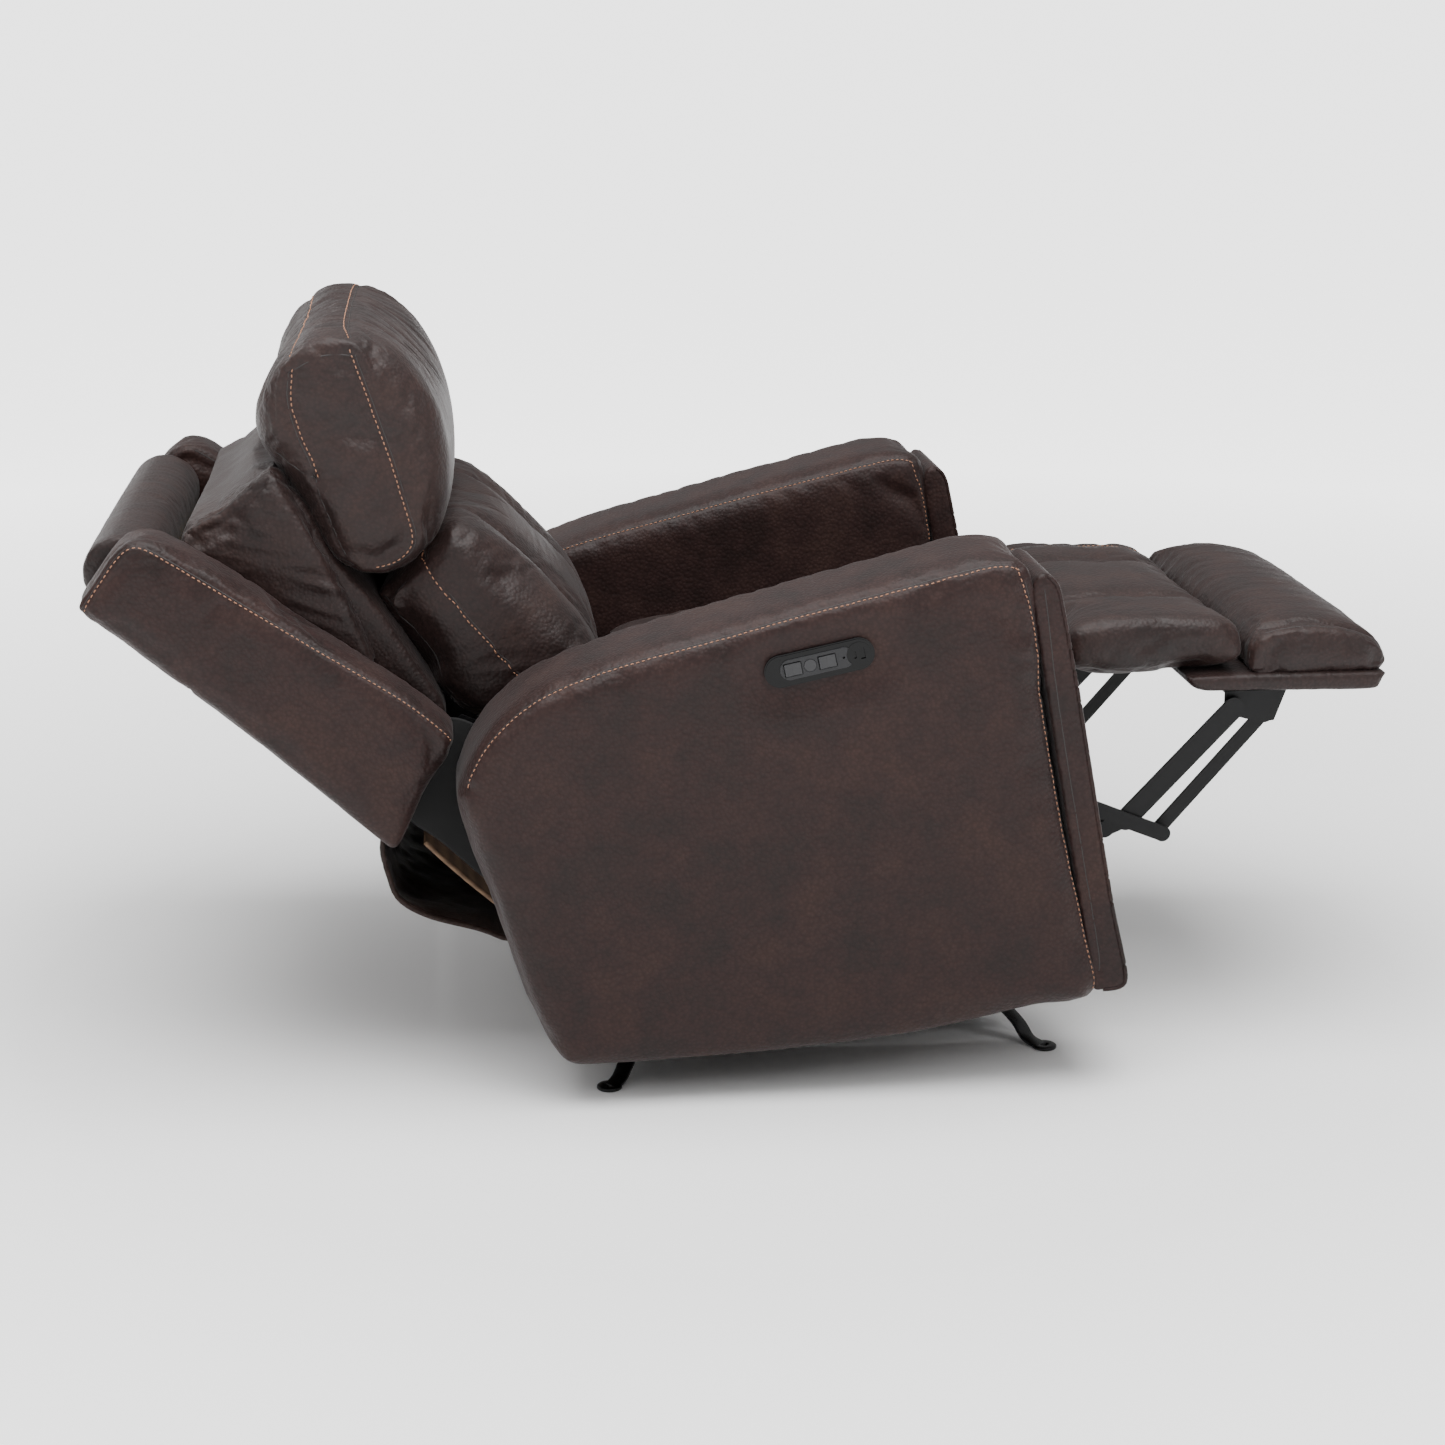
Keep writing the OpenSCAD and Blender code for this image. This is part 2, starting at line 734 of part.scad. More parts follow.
control_links();
outer_links();
steady_links();
footrest_brackets();
footrest_board();
footrest_cushion();
chaise_pad();
back_brackets();
back_frame();
wing();  // wing_left
mirror([0, 1, 0]) wing();  // wing_right
back_roll();
back_panel();
lumbar_cushion();
headrest_motor();
headrest_rod();
headrest_frame();
headrest_cushion();
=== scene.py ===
"""Looks for a power rocker recliner: leather upholstery, stitching, steel, panel, light and camera."""

import json
import logging
import math
from dataclasses import dataclass, field
from enum import Enum
from typing import Any, Sequence

import bpy
import numpy as np
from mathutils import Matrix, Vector, noise
from mathutils.bvhtree import BVHTree
from mathutils.kdtree import KDTree

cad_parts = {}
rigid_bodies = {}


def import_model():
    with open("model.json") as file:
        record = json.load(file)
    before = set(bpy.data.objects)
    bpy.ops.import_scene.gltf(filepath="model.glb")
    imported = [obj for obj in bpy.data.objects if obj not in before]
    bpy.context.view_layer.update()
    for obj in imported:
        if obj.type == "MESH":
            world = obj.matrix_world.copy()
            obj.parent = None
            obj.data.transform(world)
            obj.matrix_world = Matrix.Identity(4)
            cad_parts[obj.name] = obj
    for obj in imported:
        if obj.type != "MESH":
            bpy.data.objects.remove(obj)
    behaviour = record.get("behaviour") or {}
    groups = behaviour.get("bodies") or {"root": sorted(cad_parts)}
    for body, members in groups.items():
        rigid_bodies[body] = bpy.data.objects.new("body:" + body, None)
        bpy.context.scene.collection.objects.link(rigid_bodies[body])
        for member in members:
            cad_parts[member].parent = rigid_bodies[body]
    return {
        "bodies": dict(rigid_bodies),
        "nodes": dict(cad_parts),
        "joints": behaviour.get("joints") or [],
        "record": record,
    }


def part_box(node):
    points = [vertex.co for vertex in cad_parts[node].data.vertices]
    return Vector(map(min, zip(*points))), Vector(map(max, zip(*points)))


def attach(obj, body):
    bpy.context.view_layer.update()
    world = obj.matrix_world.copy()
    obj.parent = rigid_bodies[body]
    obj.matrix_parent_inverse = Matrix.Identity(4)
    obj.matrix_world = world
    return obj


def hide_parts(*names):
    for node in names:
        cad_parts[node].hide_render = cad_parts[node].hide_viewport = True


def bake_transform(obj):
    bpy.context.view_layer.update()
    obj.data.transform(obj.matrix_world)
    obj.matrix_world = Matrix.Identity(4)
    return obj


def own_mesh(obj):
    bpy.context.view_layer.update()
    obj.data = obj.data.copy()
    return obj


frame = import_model()

LOG = logging.getLogger("recliner")
MM = 0.001

Flat = tuple[float, float]
Point = tuple[float, float, float]
Skin = tuple[np.ndarray, list[Sequence[int]]]
Strand = tuple[str, np.ndarray, list[Sequence[int]]]

# The part of a noise's range that it really fills, spread over a roughness.
MOTTLE = {"From Min": 0.3, "From Max": 0.7}
# Signs of the sitter's right and left.
BOTH = (-1, 1)
# Frames for which the leather is blown up against its seams.
SWELL_FRAMES = 20
# Samples round each padded piece's outline, and rings on each of its rounded edges.
OUTLINE_SAMPLES = 160
EDGE_RINGS = 9
# Sewing, in millimetres: one stitch with its gap, its thread, the sunk dark cord of painted shade along each
# seam and the piping cord.
STITCH_PITCH = 6.6
THREAD_RADIUS = 0.7
SEAM_RADIUS = 0.95
PIPING_RADIUS = 2.6

SIDE_LEATHER = "drum_dyed_leather_side"
CUSHION_LEATHER = "drum_dyed_leather_cushion"
REAR_LEATHER = "split_leather_rear"
# Finish of the dark cord sunk in each seam: painted shade in the groove.
SEAM_SHADE = "inked_leather_edge"
THREAD = "bonded_polyester_thread"
LINING = "spunbond_black_lining"
PIPING = "piping"


class Side(Enum):
    """The sitter's right is -Y, the side with the control panel; the left is +Y."""

    RIGHT = -1
    LEFT = 1

    @property
    def word(self) -> str:
        """The side's name, as the CAD nodes spell it."""
        return self.name.lower()


class SeamKind(Enum):
    """How two panels of leather meet."""

    TOPSTITCHED = "topstitched"
    PLAIN = "plain"
    PIPED = "piped"


# ---------- Colours and nodes ----------


def linear(colour: str) -> tuple[float, float, float, float]:
    """Turns an sRGB hex colour into Blender's linear one.

    Args:
        colour: Six hex digits after a hash.

    Returns:
        Red, green, blue and an alpha of 1.
    """
    values = [int(colour[i : i + 2], 16) / 255 for i in (1, 3, 5)]
    curve = [v / 12.92 if v <= 0.04045 else ((v + 0.055) / 1.055) ** 2.4 for v in values]
    return (curve[0], curve[1], curve[2], 1.0)


def add_node(
    tree: bpy.types.NodeTree,
    kind: str,
    settings: dict[str | int, Any] | None = None,
    links: dict[str | int, bpy.types.NodeSocket] | None = None,
) -> bpy.types.Node:
    """Adds one shader node.

    Args:
        tree: The material's node tree.
        kind: The node's type name.
        settings: Attributes of the node or default values of its inputs.
        links: Sockets that feed its inputs.

    Returns:
        The new node.
    """
    made = tree.nodes.new(kind)
    for key, value in (settings or {}).items():
        if isinstance(key, str) and hasattr(made, key):
            setattr(made, key, value)
        else:
            made.inputs[key].default_value = value
    for key, socket in (links or {}).items():
        tree.links.new(socket, made.inputs[key])
    return made


def new_material(name: str) -> tuple[bpy.types.Material, bpy.types.NodeTree, bpy.types.Node]:
    """Starts a node material.

    Args:
        name: The finish's name.

    Returns:
        The material, its tree and its Principled shader.
    """
    material = bpy.data.materials.new(name)
    material.use_nodes = True
    tree = material.node_tree
    return material, tree, tree.nodes["Principled BSDF"]


def ramp(
    tree: bpy.types.NodeTree, source: bpy.types.NodeSocket, stops: Sequence[tuple[float, str]]
) -> bpy.types.NodeSocket:
    """Colours a value between given stops.

    Args:
        tree: The material's node tree.
        source: The value from 0 to 1.
        stops: Position and sRGB hex colour of each stop.

    Returns:
        The coloured output.
    """
    made = add_node(tree, "ShaderNodeValToRGB", links={"Fac": source})
    elements = made.color_ramp.elements
    while len(elements) < len(stops):
        elements.new(0.5)
    for element, (position, colour) in zip(elements, stops):
        element.position = position
        element.color = linear(colour)
    return made.outputs["Color"]


# ---------- Finishes ----------


@dataclass(frozen=True)
class Leather:
    """Semi-aniline cowhide, drum dyed and pebble embossed: a soft sheen, fine grain and cloudy colour."""

    name: str
    deep: str = "#1e1210"
    body: str = "#271715"
    worn: str = "#301f1b"
    # The hide's pebbles are 1.0 to 1.5 mm across, too fine to show, so they are drawn at 4.4 mm.
    pebble_mm: float = 4.4
    cloud_mm: float = 60.0
    crease_mm: float = 16.0
    roughness: float = 0.5
    crease_height_mm: float = 0.35
    shine: float = 0.22
    grain: float = 0.9

    def build(self) -> bpy.types.Material:
        """Returns the leather as a node material."""
        material, tree, shader = new_material(self.name)
        place = add_node(tree, "ShaderNodeTexCoord").outputs["Object"]
        pebbles = add_node(
            tree,
            "ShaderNodeTexVoronoi",
            {"feature": "SMOOTH_F1", "Scale": 1 / (self.pebble_mm * MM), "Smoothness": 0.4},
            {"Vector": place},
        )
        pores = add_node(
            tree,
            "ShaderNodeTexNoise",
            {"Scale": 1 / (self.pebble_mm * MM * 0.6), "Detail": 2.0},
            {"Vector": place},
        )
        clouds = add_node(
            tree,
            "ShaderNodeTexNoise",
            {"Scale": 1 / (self.cloud_mm * MM), "Detail": 4.0, "Roughness": 0.6},
            {"Vector": place},
        )
        creases = add_node(
            tree,
            "ShaderNodeTexNoise",
            {"Scale": 1 / (self.crease_mm * MM), "Detail": 3.0, "Roughness": 0.55, "Distortion": 0.6},
            {"Vector": place},
        )
        tone = ramp(tree, clouds.outputs["Fac"], [(0.32, self.deep), (0.5, self.body), (0.72, self.worn)])
        speck = ramp(tree, pebbles.outputs["Distance"], [(0.1, "#ffffff"), (0.75, "#cfc8c5")])
        colour = add_node(
            tree,
            "ShaderNodeMix",
            {"data_type": "RGBA", "blend_type": "MULTIPLY", 0: 1.0},
            {6: tone, 7: speck},
        )
        tree.links.new(colour.outputs[2], shader.inputs["Base Color"])
        polish = add_node(
            tree,
            "ShaderNodeMapRange",
            {**MOTTLE, "To Min": self.roughness - 0.05, "To Max": self.roughness + 0.07},
            {"Value": clouds.outputs["Fac"]},
        )
        tree.links.new(polish.outputs["Result"], shader.inputs["Roughness"])
        soft = add_node(
            tree,
            "ShaderNodeBump",
            {"Strength": 0.55, "Distance": self.crease_height_mm * MM},
            {"Height": creases.outputs["Fac"]},
        )
        fine = add_node(
            tree,
            "ShaderNodeBump",
            {"Strength": 0.4, "Distance": 0.3 * MM},
            {"Height": pores.outputs["Fac"], "Normal": soft.outputs[0]},
        )
        grain = add_node(
            tree,
            "ShaderNodeBump",
            {"Strength": self.grain, "Distance": 0.6 * MM, "invert": True},
            {"Height": pebbles.outputs["Distance"], "Normal": fine.outputs[0]},
        )
        tree.links.new(grain.outputs[0], shader.inputs["Normal"])
        shader.inputs["Specular IOR Level"].default_value = self.shine
        shader.inputs["IOR"].default_value = 1.48
        shader.inputs["Sheen Weight"].default_value = 0.05
        shader.inputs["Sheen Roughness"].default_value = 0.45
        return material


@dataclass(frozen=True)
class Cloth:
    """Woven lining: two crossed sets of threads, matt, with a little slub."""

    name: str
    deep: str
    light: str
    # Threads lie 0.5 mm apart, drawn at 2 mm so that the weave still shows.
    thread_mm: float = 2.0
    roughness: float = 0.9

    def build(self) -> bpy.types.Material:
        """Returns the cloth as a node material."""
        material, tree, shader = new_material(self.name)
        place = add_node(tree, "ShaderNodeTexCoord").outputs["Object"]
        scale = 1 / (self.thread_mm * MM) / 20
        threads = [
            add_node(
                tree,
                "ShaderNodeTexWave",
                {"bands_direction": way, "Scale": scale, "Distortion": 0.4},
                {"Vector": place},
            ).outputs["Fac"]
            for way in ("Y", "Z")
        ]
        weave = add_node(tree, "ShaderNodeMath", {"operation": "MULTIPLY"}, {0: threads[0], 1: threads[1]})
        tone = ramp(tree, weave.outputs[0], [(0.0, self.deep), (1.0, self.light)])
        tree.links.new(tone, shader.inputs["Base Color"])
        bump = add_node(
            tree, "ShaderNodeBump", {"Strength": 0.4, "Distance": 0.4 * MM}, {"Height": weave.outputs[0]}
        )
        tree.links.new(bump.outputs[0], shader.inputs["Normal"])
        shader.inputs["Roughness"].default_value = self.roughness
        return material


@dataclass(frozen=True)
class Coat:
    """A hard surface with fine mottle: enamel, moulded plastic, bare steel or thread.

    speck_mm is the size of the surface's unevenness: orange peel, mould grain or drawing marks.
    """

    name: str
    colour: str
    second: str
    roughness: float
    speck_mm: float
    height_mm: float = 0.05
    metallic: float = 0.0
    stretch: Point = (1.0, 1.0, 1.0)
    shine: float = 0.5

    def build(self) -> bpy.types.Material:
        """Returns the coating as a node material."""
        material, tree, shader = new_material(self.name)
        place = add_node(tree, "ShaderNodeTexCoord").outputs["Object"]
        aimed = add_node(tree, "ShaderNodeMapping", {"Scale": self.stretch}, {"Vector": place})
        speck = add_node(
            tree,
            "ShaderNodeTexNoise",
            {"Scale": 1 / (self.speck_mm * MM), "Detail": 3.0, "Roughness": 0.6},
            {"Vector": aimed.outputs[0]},
        )
        tone = ramp(tree, speck.outputs["Fac"], [(0.35, self.colour), (0.7, self.second)])
        tree.links.new(tone, shader.inputs["Base Color"])
        gloss = add_node(
            tree,
            "ShaderNodeMapRange",
            {**MOTTLE, "To Min": self.roughness * 0.85, "To Max": self.roughness * 1.2},
            {"Value": speck.outputs["Fac"]},
        )
        tree.links.new(gloss.outputs["Result"], shader.inputs["Roughness"])
        bump = add_node(
            tree,
            "ShaderNodeBump",
            {"Strength": 0.5, "Distance": self.height_mm * MM},
            {"Height": speck.outputs["Fac"]},
        )
        tree.links.new(bump.outputs[0], shader.inputs["Normal"])
        shader.inputs["Metallic"].default_value = self.metallic
        shader.inputs["Specular IOR Level"].default_value = self.shine
        return material


@dataclass(frozen=True)
class Timber:
    """Sawn softwood or hardboard: growth rings stretched along the board, matt."""

    name: str
    early: str
    late: str
    ring_mm: float

    def build(self) -> bpy.types.Material:
        """Returns the wood as a node material."""
        material, tree, shader = new_material(self.name)
        place = add_node(tree, "ShaderNodeTexCoord").outputs["Object"]
        along = add_node(tree, "ShaderNodeMapping", {"Scale": (1.0, 0.08, 1.0)}, {"Vector": place})
        rings = add_node(
            tree,
            "ShaderNodeTexWave",
            {"wave_type": "RINGS", "Scale": 1 / (self.ring_mm * MM) / 20, "Distortion": 3.0, "Detail": 3.0},
            {"Vector": along.outputs[0]},
        )
        tone = ramp(tree, rings.outputs["Fac"], [(0.1, self.early), (0.9, self.late)])
        tree.links.new(tone, shader.inputs["Base Color"])
        bump = add_node(
            tree, "ShaderNodeBump", {"Strength": 0.3, "Distance": 0.2 * MM}, {"Height": rings.outputs["Fac"]}
        )
        tree.links.new(bump.outputs[0], shader.inputs["Normal"])
        shader.inputs["Roughness"].default_value = 0.72
        return material


@dataclass
class Palette:
    """Every finish of the chair, built once."""

    made: dict[str, bpy.types.Material] = field(default_factory=dict)

    FINISHES = (
        # Side hide, drum dyed: dark reddish brown with cloudy patches and a restrained sheen.
        Leather(SIDE_LEATHER),
        # The same hide, milled softer and polished by sitting: a brighter sheen over finer creases.
        Leather(CUSHION_LEATHER, "#1c110f", "#241614", "#2c1c18", crease_mm=11.0, shine=0.28),
        # Flesh split, coated and plated smooth: paler, flatter and more matt than the hide.
        Leather(REAR_LEATHER, "#251a17", "#2f221e", "#3a2c27", roughness=0.58, shine=0.2, grain=0.5),
        # A nearly black cord sunk in each seam's groove is painted shade, so each seam reads as a dark line.
        Coat(SEAM_SHADE, "#15100f", "#1d1615", 0.6, 1.5),
        # Bonded polyester thread: twisted, tan, with a slight gloss.
        Coat(THREAD, "#7a543f", "#946a51", 0.6, 0.8, stretch=(1.0, 1.0, 3.0)),
        # Thin lining stapled inside the frame: it swallows light behind every gap.
        Cloth(LINING, "#060606", "#131313"),
        # Black enamel on stamped steel: even, slightly glossy, with a fine orange peel.
        Coat("black_enamelled_steel", "#050506", "#0a0a0b", 0.45, 3.0, shine=0.22),
        # Powder coat on the feet: blacker and glossier than the enamel, with a finer texture.
        Coat("powder_coated_foot_steel", "#050505", "#0a0a0b", 0.3, 1.6, shine=0.4),
        # Hard drawn wire, left bare: grey metal with soft highlights along each coil.
        Coat("drawn_spring_steel", "#7d7e80", "#9c9da0", 0.34, 2.0, metallic=1.0),
        # Ground and polished rod: bright, with marks that run round it.
        Coat("ground_rod_steel", "#a8a9ab", "#c2c3c5", 0.22, 4.0, metallic=1.0, stretch=(1.0, 6.0, 1.0)),
        # Glossy moulded ABS: a mirror-like black surround.
        Coat("moulded_gloss_abs", "#030303", "#050506", 0.1, 8.0, height_mm=0.01, shine=0.16),
        # Spark-eroded moulded ABS: a fine satin grey.
        Coat("moulded_satin_abs_grey", "#171719", "#1d1d1f", 0.42, 0.9, height_mm=0.04, shine=0.3),
        Coat("moulded_satin_abs_button", "#1b1b1d", "#232325", 0.38, 0.9, height_mm=0.03, shine=0.4),
        # Glass-filled nylon housings: flat black with a faint mottle.
        Coat("moulded_black_nylon", "#101011", "#1a1a1b", 0.5, 1.2, height_mm=0.05),
        # Rough-sawn frame pine, pale with wide growth rings, and brown tempered hardboard.
        Timber("sawn_pine", "#c09b6c", "#a27c4f", 7.0),
        Timber("pressed_hardboard", "#6e553f", "#5c4532", 2.5),
    )

    # Timber that is stapled over with black lining before the cushion goes on.
    WRAPPED = {"headrest_frame": LINING}

    CAD_SLOTS = {
        "black_steel": "black_enamelled_steel",
        "foot_steel": "powder_coated_foot_steel",
        "spring_wire": "drawn_spring_steel",
        "hardboard": "pressed_hardboard",
        "pine": "sawn_pine",
        "leather_side": SIDE_LEATHER,
        "leather_front": SIDE_LEATHER,
        "leather_cushion": CUSHION_LEATHER,
        "leather_rear": REAR_LEATHER,
        "wrapped_board": CUSHION_LEATHER,
        "bezel_black": "moulded_gloss_abs",
        "panel_grey": "moulded_satin_abs_grey",
        "button_grey": "moulded_satin_abs_button",
        "motor_black": "moulded_black_nylon",
        "rail_steel": "black_enamelled_steel",
        "rod_steel": "ground_rod_steel",
    }

    def build(self) -> None:
        """Makes every material."""
        for finish in self.FINISHES:
            self.made[finish.name] = finish.build()

    def get(self, name: str) -> bpy.types.Material:
        """Returns the finish of that name."""
        return self.made[name]

    def dress_frame(self, loaded: dict[str, Any]) -> None:
        """Gives every CAD node the finish of its material slot.
        """
        slots = {row["node"]: row["material_slot"] for row in loaded["record"]["subparts"]}
        for name, obj in loaded["nodes"].items():
            material = self.get(self.WRAPPED.get(name, self.CAD_SLOTS[slots[name]]))
            obj.data.materials.clear()
            obj.data.materials.append(material)


# ---------- Curves and meshes ----------


def curve_through(
    points: Sequence[Sequence[float]], spacing: float, closed: bool = False, count: int = 0
) -> np.ndarray:
    """Even samples of a smooth curve through points.

    Args:
        points: The curve's own points.
        spacing: Distance between samples, used when count is 0.
        closed: Whether the curve returns to its start.
        count: Number of samples.

    Returns:
        One row for each sample.
    """
    given = np.asarray(points, float)
    total = len(given)
    step = np.linspace(0, 1, 10, endpoint=False)[:, None]
    dense = []
    for i in range(total if closed else total - 1):
        a = given[(i - 1) % total] if closed else given[max(i - 1, 0)]
        b = given[i]
        c = given[(i + 1) % total]
        d = given[(i + 2) % total] if closed else given[min(i + 2, total - 1)]
        bend = (2 * a - 5 * b + 4 * c - d) * step**2 + (3 * b - 3 * c + d - a) * step**3
        dense.append(0.5 * (2 * b + (c - a) * step + bend))
    rows = np.vstack(dense + [given[:1] if closed else given[-1:]])
    along = np.r_[0, np.cumsum(np.linalg.norm(np.diff(rows, axis=0), axis=1))]
    number = count or max(int(round(along[-1] / spacing)), 3)
    at = np.linspace(0, along[-1], number, endpoint=not closed)
    return np.stack([np.interp(at, along, rows[:, k]) for k in range(rows.shape[1])], 1)


def inset(outline: np.ndarray, depth: float) -> np.ndarray:
    """Moves an anticlockwise outline inward.

    Args:
        outline: Rows of x and z.
        depth: How far in.

    Returns:
        The moved outline, with as many rows.
    """
    tangent = np.roll(outline, -2, 0) - np.roll(outline, 2, 0)
    tangent /= np.linalg.norm(tangent, axis=1)[:, None] + 1e-9
    return outline + depth * np.stack([-tangent[:, 1], tangent[:, 0]], 1)


def anticlockwise(outline: np.ndarray) -> np.ndarray:
    """Returns the outline turned anticlockwise, starting at its lowest point."""
    x, z = outline[:, 0], outline[:, 1]
    area = np.sum(x * np.roll(z, -1) - np.roll(x, -1) * z)
    turned = outline if area > 0 else outline[::-1]
    return np.roll(turned, -int(np.argmin(turned[:, 1])), 0)


def mesh_object(
    name: str, verts: np.ndarray, faces: list[Sequence[int]], material: bpy.types.Material
) -> bpy.types.Object:
    """Makes a smooth-shaded mesh object at the origin.

    Args:
        name: Piece name.
        verts: Rows of x, y, z in metres.
        faces: Vertex numbers of each face.
        material: Its finish.

    Returns:
        The object, linked to the scene.
    """
    mesh = bpy.data.meshes.new(name)
    mesh.from_pydata([tuple(map(float, v)) for v in verts], [], faces)
    mesh.shade_smooth()
    mesh.materials.append(material)
    obj = bpy.data.objects.new(name, mesh)
    bpy.context.scene.collection.objects.link(obj)
    return obj


def loft(rings: Sequence[np.ndarray]) -> Skin:
    """Joins rings of equal count into a closed skin with filled ends.

    Args:
        rings: Rows of x, y, z for each ring.

    Returns:
        Vertices and faces.
    """
    n = len(rings[0])
    faces: list[Sequence[int]] = []
    for r in range(len(rings) - 1):
        for i in range(n):
            j = (i + 1) % n
            faces.append((r * n + i, r * n + j, (r + 1) * n + j, (r + 1) * n + i))
    last = (len(rings) - 1) * n
    faces.append(tuple(reversed(range(n))))
    faces.append(tuple(range(last, last + n)))
    return np.vstack(rings), faces


def merged(parts: Sequence[Skin]) -> Skin:
    """Returns several skins as one."""
    faces: list[Sequence[int]] = []
    base = 0
    for verts, part in parts:
        faces += [tuple(i + base for i in face) for face in part]
        base += len(verts)
    return np.vstack([verts for verts, _ in parts]), faces


def applied(obj: bpy.types.Object) -> None:
    """Replaces an object's mesh with its modified one and drops the modifiers."""
    view = bpy.context.evaluated_depsgraph_get()
    mesh = bpy.data.meshes.new_from_object(obj.evaluated_get(view))
    obj.modifiers.clear()
    old = obj.data
    obj.data = mesh
    bpy.data.meshes.remove(old)
    mesh.name = obj.name


def positions(obj: bpy.types.Object) -> np.ndarray:
    """Returns the mesh's vertices as rows."""
    co = np.empty(len(obj.data.vertices) * 3)
    obj.data.vertices.foreach_get("co", co)
    return co.reshape(-1, 3)


def normals(obj: bpy.types.Object) -> np.ndarray:
    """Returns the mesh's vertex normals as rows."""
    co = np.empty(len(obj.data.vertices) * 3)
    obj.data.vertex_normals.foreach_get("vector", co)
    return co.reshape(-1, 3)


def move_to(obj: bpy.types.Object, rows: np.ndarray) -> None:
    """Puts the mesh's vertices at rows."""
    obj.data.vertices.foreach_set("co", rows.ravel())
    obj.data.update()


def surface_of(obj: bpy.types.Object) -> BVHTree:
    """Returns a search tree of the mesh's faces."""
    mesh = obj.data
    return BVHTree.FromPolygons([v.co for v in mesh.vertices], [tuple(p.vertices) for p in mesh.polygons])


def point_tree(rows: np.ndarray) -> KDTree:
    """Returns a search tree of the rows."""
    tree = KDTree(len(rows))
    for i, row in enumerate(rows):
        tree.insert(row, i)
    tree.balance()
    return tree


def frames_along(path: np.ndarray) -> np.ndarray:
    """Returns the unit tangent at each sample of a path."""
    tangent = np.gradient(path, axis=0)
    return tangent / (np.linalg.norm(tangent, axis=1)[:, None] + 1e-12)


def tube(path: np.ndarray, radius: float, sides: int = 6) -> Skin:
    """A round strand along a path.

    Args:
        path: Rows of x, y, z.
        radius: Strand radius.
        sides: Number of sides.

    Returns:
        Vertices and faces.
    """
    tangent = frames_along(path)
    up = np.array([0.0, 0.0, 1.0])
    rings = []
    for p, t in zip(path, tangent):
        a = np.cross(t, up)
        if np.linalg.norm(a) < 0.2:
            a = np.cross(t, [0.0, 1.0, 0.0])
        a /= np.linalg.norm(a)
        b = np.cross(t, a)
        turn = np.linspace(0, 2 * math.pi, sides, endpoint=False)[:, None]
        rings.append(p + radius * (np.cos(turn) * a + np.sin(turn) * b))
    return loft(rings)


# ---------- Sewing ----------


@dataclass(frozen=True)
class Seam:
    """A sewn line on a padded piece, as points in millimetres."""

    path: tuple[Point, ...]
    kind: SeamKind = SeamKind.TOPSTITCHED
    # Which way the topstitching lies from the seam, in millimetres along x, y and z.
    offset: Point = (0.0, 0.0, 0.0)
    depth: float = 1.8
    width: float = 9.0
    gather: float = 0.0
    gather_reach: float = 60.0
    gather_step: float = 14.0
    holds: bool = True

    def line(self, spacing_mm: float = 4.0) -> np.ndarray:
        """Returns the seam's samples in metres."""
        return curve_through(self.path, spacing_mm) * MM


@dataclass(frozen=True)
class Wrinkle:
    """A patch of creases: centre and reach in millimetres, running along one direction."""

    centre: Point
    reach: Point
    along: Point
    step: float
    height: float
    seed: float = 0.0


@dataclass(frozen=True)
class Fold:
    """Fold data for a loose piece that crumples as a joint moves: an axis towards an anchor, in metres; here it
    only gives the piece its own mesh.
    """

    joint: str
    axis: Point
    anchor: Point
    keep: float


@dataclass(frozen=True)
class Hardware:
    """A hard fitting screwed flat on a padded face: the leather is drawn down to it and dimples round it."""

    centre: Flat
    half_size: Flat
    tilt: float
    plane: float
    reach: float = 46.0

    def press(self, rows: np.ndarray) -> np.ndarray:
        """Draws the leather down under the fitting.

        Args:
            rows: Vertices in metres.

        Returns:
            The moved vertices.
        """
        turn = math.radians(self.tilt)
        dx = rows[:, 0] / MM - self.centre[0]
        dz = rows[:, 2] / MM - self.centre[1]
        along = np.abs(dx * math.cos(turn) + dz * math.sin(turn)) - self.half_size[0] + self.half_size[1]
        across = np.abs(dz * math.cos(turn) - dx * math.sin(turn))
        away = np.hypot(np.maximum(along, 0.0), across) - self.half_size[1]
        weight = 1 - np.clip(away / self.reach, 0.0, 1.0)
        weight = weight * weight * (3 - 2 * weight)
        side = math.copysign(1.0, self.plane)
        proud = side * rows[:, 1] / MM - abs(self.plane)
        outside = (proud > -6.0) & (side * rows[:, 1] > 0)
        moved = rows.copy()
        moved[outside, 1] -= side * MM * (weight * (proud + 0.6))[outside] * (proud[outside] > -0.6)
        return moved


